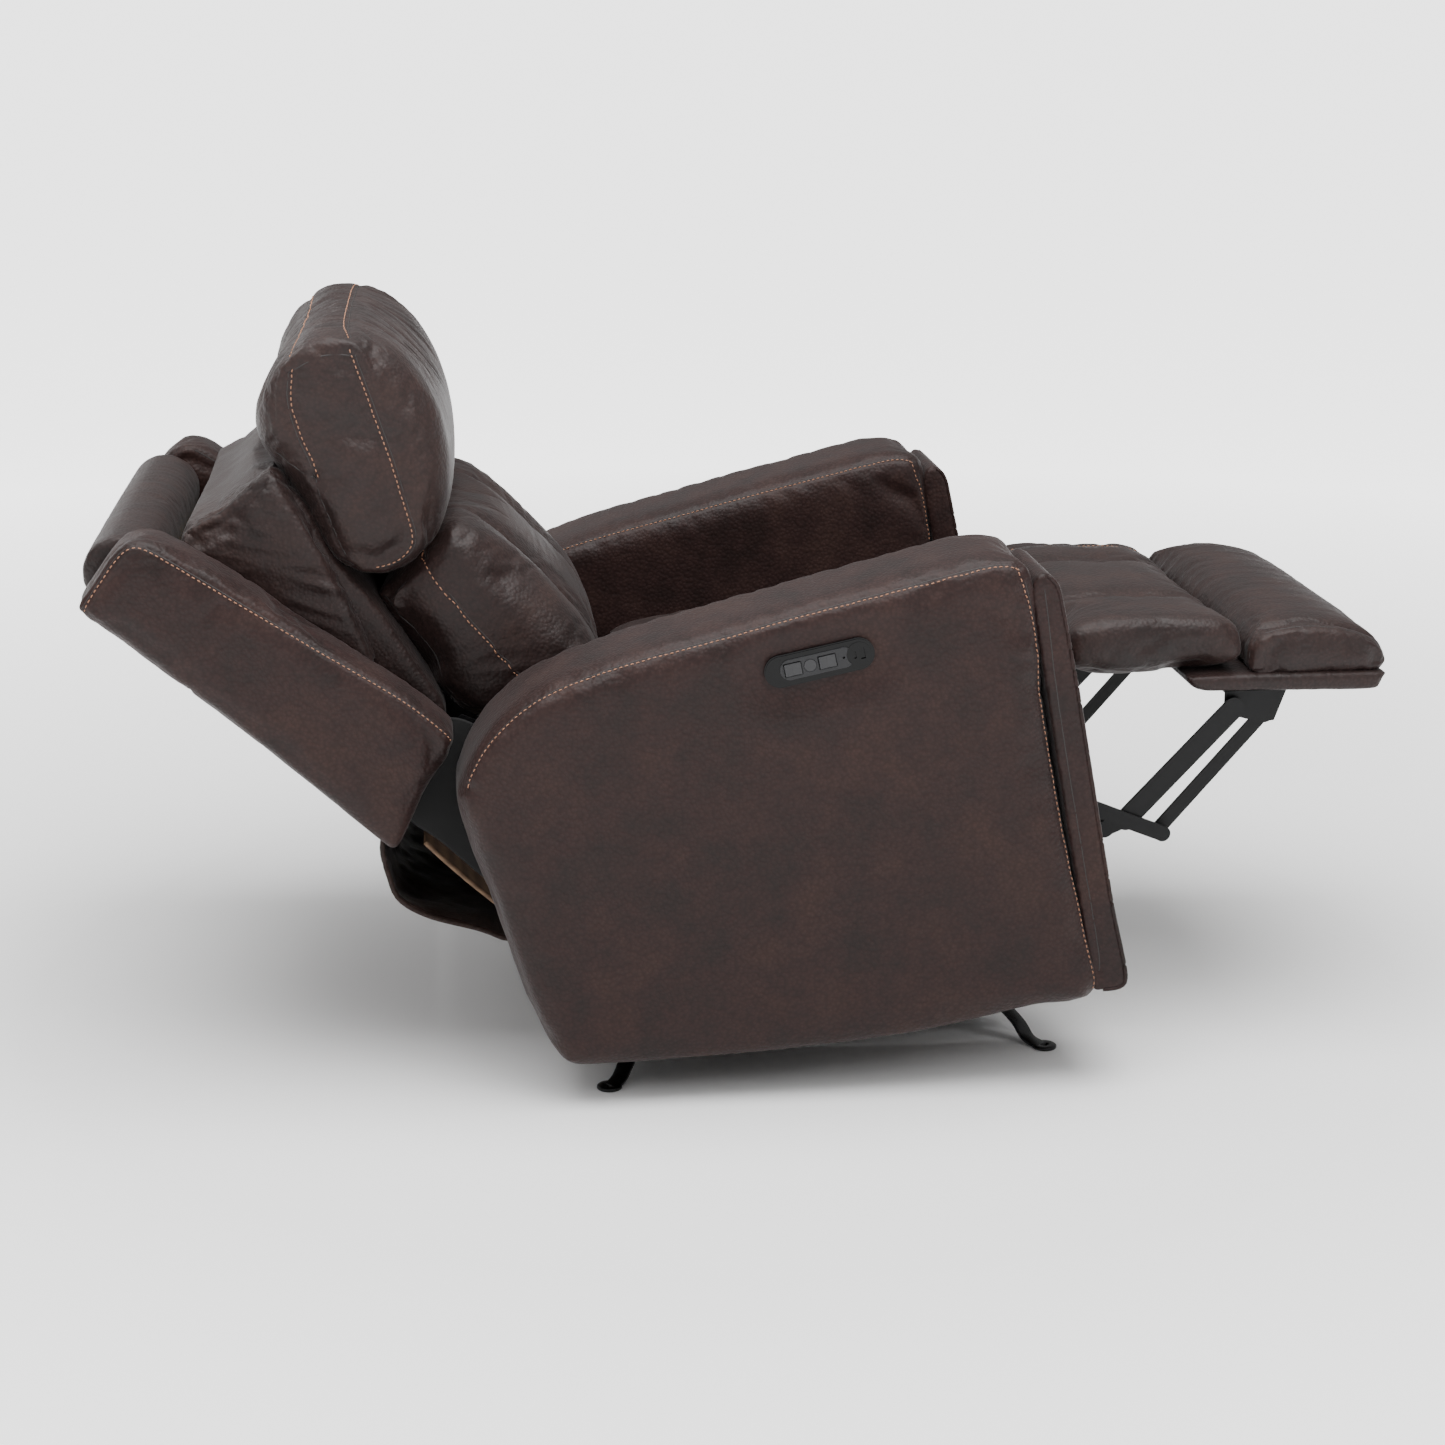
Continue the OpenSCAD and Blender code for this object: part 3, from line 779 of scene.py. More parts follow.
@dataclass
class PaddedPiece:
    """A stuffed leather form: a side outline carried across the chair, swollen against its seams."""

    name: str
    body: str
    nodes: tuple[str, ...]
    slot: str
    finish: str
    outline: tuple[Flat, ...]
    span: Flat
    rounding: Flat = (26.0, 18.0)
    end_outline: tuple[Flat, ...] | None = None
    voxel: float = 7.0
    pressure: float = 4.0
    cap: float = 12.0
    shrink: float = -0.03
    fill: float = 0.6
    start_inset: float = 4.0
    seams: tuple[Seam, ...] = ()
    wrinkles: tuple[Wrinkle, ...] = ()
    trim_in_mesh: bool = False
    fold: Fold | None = None
    swells: bool = True
    hardware: Hardware | None = None
    obj: bpy.types.Object | None = None
    rest: np.ndarray | None = None

    def form(self, palette: Palette) -> None:
        """Builds the piece's closed form, slightly small, as an even mesh.

        Args:
            palette: The finishes.
        """
        middle = anticlockwise(curve_through(self.outline, 4.0, closed=True))
        middle = inset(curve_through(middle, 4.0, closed=True, count=OUTLINE_SAMPLES), self.start_inset)
        depth, narrow = self.rounding
        if self.end_outline is None:
            end = inset(middle, narrow)
        else:
            end = anticlockwise(curve_through(self.end_outline, 4.0, closed=True))
            end = curve_through(end, 4.0, closed=True, count=OUTLINE_SAMPLES)
        low, high = sorted(self.span)
        turns = [k / EDGE_RINGS * math.pi / 2 for k in range(EDGE_RINGS + 1)]
        rings = [(low + depth * (1 - math.cos(turn)), math.sin(turn)) for turn in turns]
        rings += [(high - depth * (1 - math.cos(turn)), math.sin(turn)) for turn in reversed(turns)]
        skins = []
        for y, full in rings:
            flat = end + (middle - end) * full
            skins.append(np.stack([flat[:, 0], np.full(OUTLINE_SAMPLES, y), flat[:, 1]], 1) * MM)
        verts, faces = loft(skins)
        self.obj = mesh_object(self.name, verts, faces, palette.get(self.finish))
        mod = self.obj.modifiers.new("even", "REMESH")
        mod.mode = "VOXEL"
        mod.voxel_size = self.voxel * MM
        applied(self.obj)
        self.rest = positions(self.obj)

    def tighten(self) -> None:
        """Adds the cloth that swells the form, pinned along its seams."""
        held = [seam.line() for seam in self.seams if seam.holds]
        group = self.obj.vertex_groups.new(name="sewn")
        if held:
            tree = point_tree(np.vstack(held))
            for i, co in enumerate(self.rest):
                _, _, distance = tree.find(co)
                weight = 1.0 - min(max((distance / MM - 4.0) / 8.0, 0.0), 1.0)
                if weight > 0:
                    group.add([i], weight, "REPLACE")
        mod = self.obj.modifiers.new("swell", "CLOTH")
        settings = mod.settings
        settings.quality = 4
        settings.mass = 0.3
        settings.tension_stiffness = 12
        settings.compression_stiffness = 12
        settings.bending_stiffness = 0.4
        settings.tension_damping = 8
        settings.air_damping = 2
        settings.use_pressure = True
        settings.uniform_pressure_force = self.pressure
        settings.shrink_min = self.shrink
        settings.effector_weights.gravity = 0
        if held:
            settings.vertex_group_mass = "sewn"
        mod.collision_settings.use_collision = False
        mod.point_cache.frame_start = 1
        mod.point_cache.frame_end = SWELL_FRAMES

    def settle(self) -> None:
        """Keeps the swollen shape, with no point further than the cap from where it began."""
        view = bpy.context.evaluated_depsgraph_get()
        shaped = self.obj.evaluated_get(view)
        co = np.empty(len(shaped.data.vertices) * 3)
        shaped.data.vertices.foreach_get("co", co)
        moved = co.reshape(-1, 3) - self.rest
        length = np.linalg.norm(moved, axis=1)[:, None] + 1e-12
        limit = self.cap * MM
        self.obj.modifiers.clear()
        move_to(self.obj, self.rest + moved / length * limit * np.tanh(length / limit))

    def tailor(self, palette: Palette) -> None:
        """Refines the mesh, then sinks the seams, raises the creases and sews.

        Args:
            palette: The finishes.
        """
        mod = self.obj.modifiers.new("finer", "SUBSURF")
        mod.levels = 1
        applied(self.obj)
        self.crease()
        for seam in self.seams:
            self.sink(seam)
        if self.hardware is not None:
            move_to(self.obj, self.hardware.press(positions(self.obj)))
        self.obj.data.shade_smooth()
        self.sew(palette)

    def crease(self) -> None:
        """Raises each patch of creases along the surface's normals."""
        rows = positions(self.obj)
        out = normals(self.obj)
        lift = np.zeros(len(rows))
        for patch in self.wrinkles:
            along = np.asarray(patch.along, float)
            along /= np.linalg.norm(along)
            away = (rows / MM - patch.centre) / patch.reach
            weight = np.exp(-np.sum(away**2, axis=1))
            near = np.nonzero(weight > 0.02)[0]
            slide = (rows[near] / MM) @ along
            across = rows[near] / MM - slide[:, None] * along
            sample = across / patch.step + (slide / (patch.step * 7))[:, None] * along + patch.seed
            ridge = np.array([noise.noise(Vector(s)) for s in sample])
            lift[near] += weight[near] * patch.height * MM * (1 - 2.2 * np.abs(ridge)) * 0.8
        move_to(self.obj, rows + out * lift[:, None])

    def sink(self, seam: Seam) -> None:
        """Draws the surface in along one seam and gathers it beside the seam.

        Args:
            seam: The seam.
        """
        line = seam.line(3.0)
        tree = point_tree(line)
        rows = positions(self.obj)
        out = normals(self.obj)
        reach = max(seam.width, seam.gather_reach if seam.gather else 0.0) * MM
        lift = np.zeros(len(rows))
        for i, co in enumerate(rows):
            _, index, distance = tree.find(co)
            if distance > reach:
                continue
            if distance < seam.width * MM:
                share = distance / (seam.width * MM)
                lift[i] -= seam.depth * MM * (1 - share * share) ** 2
            if seam.gather:
                at = index * 3.0 / seam.gather_step
                fold = noise.noise(Vector((at, distance / MM / 45.0, len(line) * 0.37)))
                lift[i] += seam.gather * MM * fold * math.exp(-distance / MM / seam.gather_reach * 2.2)
        move_to(self.obj, rows + out * lift[:, None])

    def sew(self, palette: Palette) -> None:
        """Lays the dark cords of painted seam shade, the piping and the thread on the surface.

        Args:
            palette: The finishes.
        """
        skin = surface_of(self.obj)
        parts: list[Strand] = []
        for seam in self.seams:
            parts += seam_trim(seam, skin)
        for finish in (SEAM_SHADE, THREAD, self.finish):
            chosen = [(v, f) for kind, v, f in parts if kind == (finish if finish != self.finish else PIPING)]
            if not chosen:
                continue
            verts, faces = merged(chosen)
            word = {SEAM_SHADE: "seam", THREAD: "stitching"}.get(finish, PIPING)
            trim = mesh_object(f"{self.name}_{word}", verts, faces, palette.get(finish))
            if self.trim_in_mesh:
                join(self.obj, trim)
            else:
                trim.parent = self.obj

    def place(self) -> None:
        """Hands the piece to its body and its CAD solids."""
        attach(self.obj, self.body)
        if self.nodes:
            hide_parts(*self.nodes)
        if self.fold is not None:
            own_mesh(self.obj)


def join(target: bpy.types.Object, extra: bpy.types.Object) -> None:
    """Merges one object's mesh into another's, keeping both finishes.

    Args:
        target: The object that grows.
        extra: The object that is used up.
    """
    with bpy.context.temp_override(active_object=target, selected_editable_objects=[target, extra]):
        bpy.ops.object.join()


def seam_trim(seam: Seam, skin: BVHTree) -> list[Strand]:
    """What lies on the surface along one seam.

    Args:
        seam: The seam.
        skin: The surface's search tree.

    Returns:
        For each strand or stitch its finish, vertices and faces.
    """
    made: list[Strand] = []
    line = seam.line(5.0)
    hugging = []
    for row in line:
        spot, normal, _, _ = skin.find_nearest(Vector(row))
        hugging.append((np.array(spot), np.array(normal)))
    centre = np.array([p - 0.5 * MM * n for p, n in hugging])
    if seam.kind is SeamKind.PIPED:
        bead = np.array([p + 0.6 * MM * n for p, n in hugging])
        made.append((PIPING, *tube(smoothed(bead), PIPING_RADIUS * MM, 8)))
    # A nearly black cord in the seam's groove: painted shade.
    made.append((SEAM_SHADE, *tube(smoothed(centre), SEAM_RADIUS * MM)))
    if seam.kind is SeamKind.TOPSTITCHED:
        shifted = curve_through(seam.line(3.0) / MM + np.asarray(seam.offset), STITCH_PITCH) * MM
        for a, b in zip(shifted[:-1], shifted[1:]):
            start, _, _, _ = skin.find_nearest(Vector(a))
            end, out, _, _ = skin.find_nearest(Vector(b))
            made.append((THREAD, *stitch(np.array(start), np.array(end), np.array(out))))
    return made


def smoothed(path: np.ndarray) -> np.ndarray:
    """Returns the path with its small kinks evened out."""
    rows = path.copy()
    for _ in range(2):
        rows[1:-1] = 0.25 * rows[:-2] + 0.5 * rows[1:-1] + 0.25 * rows[2:]
    return rows


def stitch(start: np.ndarray, end: np.ndarray, out: np.ndarray) -> Skin:
    """One visible stitch: a short thread that dips into the leather at both ends.

    Args:
        start: Where the needle came up.
        end: Where the next stitch starts.
        out: The surface's normal.

    Returns:
        Vertices and faces.
    """
    radius = THREAD_RADIUS * MM
    way = end - start
    rings = []
    across = np.cross(way, out)
    across /= np.linalg.norm(across) + 1e-12
    arch = ((0.14, 0.4, -0.6), (0.24, 0.95, 0.4), (0.46, 1.1, 0.65), (0.68, 0.95, 0.4), (0.78, 0.4, -0.6))
    for share, swell, rise in arch:
        centre = start + way * share + out * radius * rise
        turn = np.linspace(0, 2 * math.pi, 6, endpoint=False)[:, None]
        rings.append(centre + radius * swell * (np.cos(turn) * across + np.sin(turn) * out))
    return loft(rings)


@dataclass
class SewingRoom:
    """Swells every padded piece in one simulation, then tailors and places each one."""

    palette: Palette
    pieces: list[PaddedPiece] = field(default_factory=list)

    def run(self) -> None:
        """Builds all the pieces."""
        for piece in self.pieces:
            piece.form(self.palette)
        swelling = [piece for piece in self.pieces if piece.swells]
        for piece in swelling:
            piece.tighten()
        scene = bpy.context.scene
        scene.frame_start = 1
        scene.frame_end = SWELL_FRAMES
        for step in range(1, SWELL_FRAMES + 1):
            scene.frame_set(step)
        for piece in swelling:
            piece.settle()
        scene.frame_set(1)
        for piece in self.pieces:
            piece.tailor(self.palette)
            piece.place()
            LOG.info("%s: %d vertices", piece.name, len(piece.obj.data.vertices))


# ---------- Upholstery ----------


def at_y(points: Sequence[Flat], y: float) -> tuple[Point, ...]:
    """Returns side-view points carried to one distance from the middle."""
    return tuple((x, y, z) for x, z in points)


@dataclass
class Arms:
    """Both padded arms with their separate padded front plates."""

    inner: float = 279.0
    outer: float = 447.0
    outline: tuple[Flat, ...] = (
        (-212, 47), (-77, 50), (41, 57), (136, 66), (207, 76), (302, 96), (398, 122),
        (384, 200), (362, 300), (342, 400), (324, 500), (314, 580), (304, 634), (284, 650), (234, 648),
        (164, 631), (48, 601), (-68, 570), (-138, 551), (-200, 530), (-251, 509), (-285, 487),
        (-312, 461), (-332, 433), (-346, 403), (-352, 378), (-340, 326), (-318, 265), (-295, 191),
        (-275, 129), (-258, 91), (-241, 62),
    )
    top_seam: tuple[Flat, ...] = (
        (-346, 403), (-332, 433), (-312, 461), (-285, 487), (-251, 509), (-200, 530), (-132, 548), (-53, 567),
        (38, 591), (129, 613), (220, 635), (266, 645), (288, 640),
    )
    front_stitch: tuple[Flat, ...] = (
        (288, 640), (293, 625), (314, 560), (330, 490), (349, 400), (370, 288), (388, 176), (397, 126),
    )
    plate_outline: tuple[Flat, ...] = (
        (392, 125), (402, 124), (418, 124), (429, 128), (434, 142), (412, 234), (388, 358), (363, 491),
        (342, 590), (336, 614), (327, 628), (312, 630), (304, 606), (316, 540), (334, 440), (354, 330),
        (376, 210), (386, 150),
    )
    # The control panel is screwed to the right arm's outer face.
    panel_seat: Hardware = Hardware((59, 536), (64, 19), 12.0, -447.0)

    def pieces(self) -> list[PaddedPiece]:
        """Returns the four padded pieces."""
        made = []
        for side in Side:
            made.append(self.arm(side))
            made.append(self.front_plate(side))
        return made

    def arm(self, side: Side) -> PaddedPiece:
        """Returns one arm.

        Args:
            side: Which arm.
        """
        s = side.value
        seams = []
        for y in (self.outer - 5, self.inner + 6):
            top, front = at_y(self.top_seam, s * y), at_y(self.front_stitch, s * y)
            seams.append(Seam(top, offset=(1.0, 0, -5.0), depth=1.6, width=7, gather=0.4))
            seams.append(Seam(front, offset=(-5.5, 0, 0), depth=1.2, width=7, gather=0.3))
        wrinkles = [
            Wrinkle((100, s * self.outer, 350), (260, 60, 240), (0.3, 0, 1), 140, 1.0, 3.0 + s),
            Wrinkle((-220, s * self.outer, 250), (110, 60, 180), (0.4, 0, 1), 70, 0.8, 8.0),
        ]
        if side is Side.RIGHT:
            wrinkles.append(Wrinkle((59, -self.outer, 536), (105, 40, 55), (0.3, 0, 1), 36, 1.6, 5.0))
        return PaddedPiece(
            f"upholstered_arm_{side.word}", "chair_body", (f"arm_{side.word}",), "leather_side",
            SIDE_LEATHER, self.outline, (s * self.inner, s * self.outer), rounding=(22, 15),
            voxel=8.5, cap=4.5, start_inset=2.0, pressure=3.0, fill=0.8, seams=tuple(seams),
            wrinkles=tuple(wrinkles), hardware=self.panel_seat if side is Side.RIGHT else None,
        )

    def front_plate(self, side: Side) -> PaddedPiece:
        """Returns one arm's front plate.

        Args:
            side: Which arm.
        """
        s = side.value
        edge = (
            (404, 126), (420, 127), (430, 140), (410, 234), (386, 358), (361, 491), (341, 590), (334, 616),
            (322, 627),
        )
        inner = ((398, 150), (396, 176), (374, 290), (352, 404), (334, 506), (322, 590), (318, 612))
        seams = (
            Seam(at_y(edge, s * (self.outer - 10)), SeamKind.PIPED, depth=0.8, width=5),
            Seam(at_y(edge, s * (self.inner + 9)), SeamKind.PIPED, depth=0.8, width=5),
            Seam(at_y(inner, s * (self.outer - 6)), SeamKind.PLAIN, depth=1.4, width=5),
        )
        return PaddedPiece(
            f"arm_front_plate_{side.word}", "chair_body", (f"arm_front_{side.word}",), "leather_front",
            SIDE_LEATHER, self.plate_outline, (s * (self.inner + 6), s * (self.outer - 7)),
            rounding=(6, 4), voxel=4.5, start_inset=0.2, swells=False, fill=0.7, seams=seams,
        )


@dataclass
class BackRest:
    """The reclining back: wings, top roll, rear panel, lumbar cushion, shroud and core."""

    wing_outline: tuple[Flat, ...] = (
        (-356, 438), (-372, 458), (-415, 494), (-527, 570), (-600, 624), (-680, 672), (-706, 678), (-728, 664),
        (-750, 634), (-772, 603), (-768, 596), (-716, 554), (-587, 445), (-450, 322), (-432, 308), (-422, 314),
        (-390, 378), (-362, 420),
    )
    wing_seam: tuple[Flat, ...] = (
        (-768, 600), (-745, 636), (-726, 661), (-714, 671), (-696, 671), (-636, 634), (-527, 562), (-415, 491),
        (-352, 440),
    )
    lumbar_outline: tuple[Flat, ...] = (
        (-168, 436), (-164, 462), (-178, 505), (-201, 542), (-264, 608), (-313, 655), (-348, 670),
        (-372, 655), (-420, 600), (-446, 582), (-414, 534), (-390, 494), (-374, 462), (-330, 425),
        (-250, 398), (-190, 400),
    )

    shroud_outline: tuple[Flat, ...] = (
        (-664, 640), (-656, 668), (-644, 678), (-611, 697), (-566, 736), (-552, 736), (-530, 692), (-493, 620),
        (-457, 540), (-444, 505), (-470, 500), (-560, 565), (-620, 606),
    )
    core_outline: tuple[Flat, ...] = (
        (-585, 680), (-556, 722), (-520, 700), (-486, 640), (-462, 606), (-430, 560), (-394, 500), (-364, 446),
        (-372, 410), (-404, 400), (-450, 450), (-540, 540), (-600, 620),
    )
    rear_outline: tuple[Flat, ...] = (
        (-764, 582), (-716, 544), (-587, 437), (-443, 310), (-425, 309), (-424, 322), (-438, 328),
        (-582, 454), (-712, 562), (-758, 596),
    )

    def pieces(self) -> list[PaddedPiece]:
        """Returns the padded pieces of the back."""
        return [
            self.wing(Side.RIGHT),
            self.wing(Side.LEFT),
            self.roll(),
            self.lumbar(),
            self.shroud(),
            self.core(),
            self.rear(),
        ]

    def shroud(self) -> PaddedPiece:
        """Returns the loose cover over the headrest's works, with fold data for when the headrest leans back.
        """
        edge = ((-652, 672), (-611, 694), (-585, 716), (-558, 737))
        seams = tuple(Seam(at_y(edge, s * 282), SeamKind.PLAIN, depth=1.5, width=6, gather=1.6) for s in BOTH)
        wrinkles = []
        for s in BOTH:
            wrinkles.append(Wrinkle((-540, s * 285, 660), (80, 60, 60), (1, 0, -0.15), 24, 5.0, 3.0))
            wrinkles.append(Wrinkle((-500, s * 285, 600), (70, 60, 50), (1, 0, -0.3), 20, 4.0, 7.0))
            wrinkles.append(Wrinkle((-620, s * 285, 672), (50, 50, 30), (1, 0, 0.4), 18, 3.0, 5.0))
        return PaddedPiece(
            "headrest_shroud", "back", (), "leather_cushion", CUSHION_LEATHER, self.shroud_outline,
            (-285, 285), rounding=(7, 5), voxel=6.0, cap=10.0, start_inset=2.0, shrink=-0.06, pressure=2.5,
            fill=0.2, seams=seams, wrinkles=tuple(wrinkles), trim_in_mesh=True,
            fold=Fold("headrest_tilt", (0.57, 0.0, 0.82), (-0.54, 0.0, 0.545), 0.25),
        )

    def core(self) -> PaddedPiece:
        """Returns the smooth dark inner side of the back, seen between the shroud and the cushions."""
        return PaddedPiece(
            "back_core_cover", "back", (), "leather_cushion", CUSHION_LEATHER, self.core_outline,
            (-270, 270), rounding=(8, 6), voxel=8.0, cap=4.0, start_inset=1.0, pressure=1.0, fill=0.3,
            trim_in_mesh=True, fold=Fold("headrest_tilt", (0.57, 0.0, 0.82), (-0.50, 0.0, 0.50), 0.3),
        )

    def rear(self) -> PaddedPiece:
        """Returns the leather panel across the rear of the back."""
        wrinkles = (
            Wrinkle((-660, 0, 500), (150, 260, 120), (1, 0, -0.8), 90, 2.0, 3.0),
            Wrinkle((-460, 0, 340), (60, 240, 60), (0, 1, 0), 30, 1.5, 5.0),
        )
        return PaddedPiece(
            "back_rear_panel", "back", ("back_panel",), "leather_rear", REAR_LEATHER, self.rear_outline,
            (-288.5, 288.5), rounding=(4, 2), voxel=5.0, cap=3.0, start_inset=0.2, pressure=1.0, fill=0.3,
            wrinkles=wrinkles,
        )

    def wing(self, side: Side) -> PaddedPiece:
        """Returns one wing.

        Args:
            side: Which wing.
        """
        s = side.value
        seams = (
            Seam(at_y(self.wing_seam, s * 381), offset=(2.5, 0, -4.5), depth=1.6, width=7, gather=0.4),
            Seam(at_y(self.wing_seam, s * 294), SeamKind.PLAIN, depth=1.6, width=7, gather=0.4),
        )
        wrinkles = (Wrinkle((-560, s * 384, 500), (160, 50, 120), (1, 0, -1), 90, 0.8, 2.0 + s),)
        return PaddedPiece(
            f"back_wing_{side.word}", "back", (f"wing_{side.word}",), "leather_side", SIDE_LEATHER,
            self.wing_outline, (s * 290, s * 384), rounding=(12, 8), voxel=6.0, cap=3.5, start_inset=0.8,
            pressure=2.0, fill=0.7, seams=seams, wrinkles=wrinkles,
        )

    def roll(self) -> PaddedPiece:
        """Returns the stuffed roll across the top of the back."""
        turn = np.linspace(0, 2 * math.pi, 16, endpoint=False)
        ring = tuple((-731 + 46 * math.cos(a), 621 + 46 * math.sin(a)) for a in turn)
        wrinkles = (Wrinkle((-716, 0, 640), (60, 300, 60), (1, 0, 0.5), 26, 1.5, 1.0),)
        return PaddedPiece(
            "back_top_roll", "back", ("back_roll",), "leather_cushion", CUSHION_LEATHER, ring,
            (-289, 289), rounding=(10, 6), voxel=6.5, cap=6.0, start_inset=2.0, fill=0.7, wrinkles=wrinkles,
        )

    def lumbar(self) -> PaddedPiece:
        """Returns the lumbar cushion."""
        front = ((-394, 640), (-366, 600), (-332, 554), (-297, 511), (-256, 463), (-236, 425))
        rear = ((-450, 590), (-440, 578), (-414, 534), (-388, 494), (-370, 460), (-340, 432))
        panel = ((-358, 674), (-318, 655), (-262, 606), (-201, 540), (-166, 470), (-168, 430))
        puckered = {"depth": 2.8, "gather": 1.6, "gather_reach": 50, "gather_step": 13}
        channel = {"depth": 4.5, "width": 14, "gather": 1.3, "gather_reach": 45, "gather_step": 12}
        seams = [Seam(at_y(front, s * 240), offset=(-4.0, s * 3.0, 0), **puckered) for s in BOTH]
        seams += [Seam(at_y(rear, s * 254), SeamKind.PLAIN, depth=2.4, gather=1.8) for s in BOTH]
        seams += [Seam(at_y(panel, s * 130), SeamKind.PLAIN, **channel) for s in BOTH]
        wrinkles = (
            Wrinkle((-220, 0, 560), (90, 150, 100), (0, 1, 0.1), 16, 1.2, 4.0),
            Wrinkle((-330, -200, 610), (70, 70, 60), (0.6, 1, 0.3), 20, 2.0, 7.0),
            Wrinkle((-330, 200, 610), (70, 70, 60), (0.6, -1, 0.3), 20, 2.0, 9.0),
            Wrinkle((-290, -250, 490), (80, 45, 50), (1, 0.3, 0.15), 24, 2.6, 5.0),
            Wrinkle((-290, 250, 490), (80, 45, 50), (1, -0.3, 0.15), 24, 2.6, 6.0),
        )
        return PaddedPiece(
            "lumbar_pillow", "back", ("lumbar_cushion",), "leather_cushion", CUSHION_LEATHER,
            self.lumbar_outline, (-254, 254), rounding=(40, 26), voxel=6.0, cap=13.0, start_inset=5.0,
            shrink=-0.02, seams=tuple(seams), wrinkles=wrinkles,
        )


@dataclass
class HeadRest:
    """The tilting headrest pillow, a puffy form with a gathered band round its ends and top."""

    half: float = 285.0
    outline: tuple[Flat, ...] = (
        (-390, 622), (-368, 650), (-357, 690), (-353, 724), (-355, 762), (-366, 804), (-390, 850), (-418, 881),
        (-450, 896), (-486, 898), (-520, 886), (-550, 862), (-569, 826), (-574, 792), (-564, 764),
        (-543, 735), (-505, 668), (-478, 620), (-440, 605), (-410, 608),
    )
    gusset: tuple[Flat, ...] = (
        (-452, 876), (-436, 817), (-415, 753), (-399, 694), (-392, 659), (-398, 640), (-414, 626),
        (-436, 620), (-462, 620), (-482, 650), (-500, 692), (-518, 749), (-530, 776), (-538, 818),
        (-532, 856), (-500, 880),
    )
    front_seam: tuple[Point, ...] = (
        (-436, -281, 622), (-414, -282, 627), (-397, -282, 641), (-392, -282, 659), (-401, -282, 694),
        (-417, -282, 753), (-438, -282, 817), (-455, -280, 868), (-461, -262, 888), (-464, -200, 897),
        (-465, 0, 900),
    )
    rear_seam: tuple[Point, ...] = (
        (-506, -282, 728), (-512, -282, 749), (-524, -282, 776), (-534, -282, 818), (-531, -280, 850),
        (-530, -262, 872), (-529, -200, 884), (-529, 0, 888),
    )

    def pieces(self) -> list[PaddedPiece]:
        """Returns the headrest pillow."""
        seams = []
        for near, away in ((self.front_seam, (-5.0, 0, 0)), (self.rear_seam, (5.0, 0, 0))):
            far = tuple((x, -y, z) for x, y, z in reversed(near[:-1]))
            ring = near + far
            seams.append(Seam(ring, offset=away, depth=2.2, gather=1.3, gather_reach=42, gather_step=12))
        joins = (
            (((-506, 728), (-496, 692), (-480, 650), (-464, 622)), 1.6, 7),
            (((-455, 868), (-490, 869), (-531, 850)), 1.2, 6),
            (((-568, 742), (-540, 738), (-506, 728)), 1.2, 6),
        )
        for s in BOTH:
            for path, depth, width in joins:
                seams.append(Seam(at_y(path, s * 283), SeamKind.PLAIN, depth=depth, width=width, holds=False))
        wrinkles = (
            Wrinkle((-495, -110, 895), (55, 150, 60), (1, 0.25, 0), 14, 2.2, 2.0),
            Wrinkle((-495, 150, 895), (55, 170, 60), (1, -0.2, 0), 14, 2.2, 9.0),
            Wrinkle((-400, -90, 850), (60, 190, 70), (1, 0.1, -1), 15, 1.2, 5.0),
            Wrinkle((-365, -60, 720), (60, 260, 110), (0, 0.3, 1), 42, 1.4, 6.0),
            Wrinkle((-430, -282, 720), (60, 40, 120), (0.6, 0, 1), 40, 0.9, 3.0),
        )
        return [
            PaddedPiece(
                "headrest_pillow", "headrest", ("headrest_cushion",), "leather_cushion",
                CUSHION_LEATHER, self.outline, (-self.half, self.half), rounding=(60, 20),
                end_outline=self.gusset, voxel=6.0, cap=14.0, start_inset=4.0, shrink=-0.03,
                seams=tuple(seams), wrinkles=wrinkles,
            )
        ]


@dataclass
class Seat:
    """The seat cushion between the arms."""

    outline: tuple[Flat, ...] = (
        (-136, 350), (-138, 412), (-124, 432), (60, 460), (340, 508), (366, 502), (378, 480), (376, 445),
        (362, 430), (226, 404), (60, 374),
    )

    def pieces(self) -> list[PaddedPiece]:
        """Returns the seat cushion."""
        edge = ((-120, 432), (60, 458), (200, 484), (340, 506), (366, 498), (376, 470), (372, 440))
        panel = ((-120, 434), (60, 462), (200, 488), (340, 510), (370, 498), (378, 466))
        seams = []
        for s in BOTH:
            seams.append(Seam(at_y(edge, s * 250), offset=(0, s * 6.0, 0), depth=2.5, gather=1.8))
            seams.append(Seam(at_y(panel, s * 110), SeamKind.PLAIN, depth=2.2, width=9, gather=0.9))
        wrinkles = (Wrinkle((150, 0, 480), (220, 220, 60), (0, 1, 0), 30, 1.2, 3.0),)
        return [
            PaddedPiece(
                "seat_pad", "seat", ("seat_cushion",), "leather_cushion", CUSHION_LEATHER,
                self.outline, (-262, 262), rounding=(30, 20), voxel=8.0, cap=14.0, start_inset=4.0,
                seams=tuple(seams), wrinkles=wrinkles,
            )
        ]


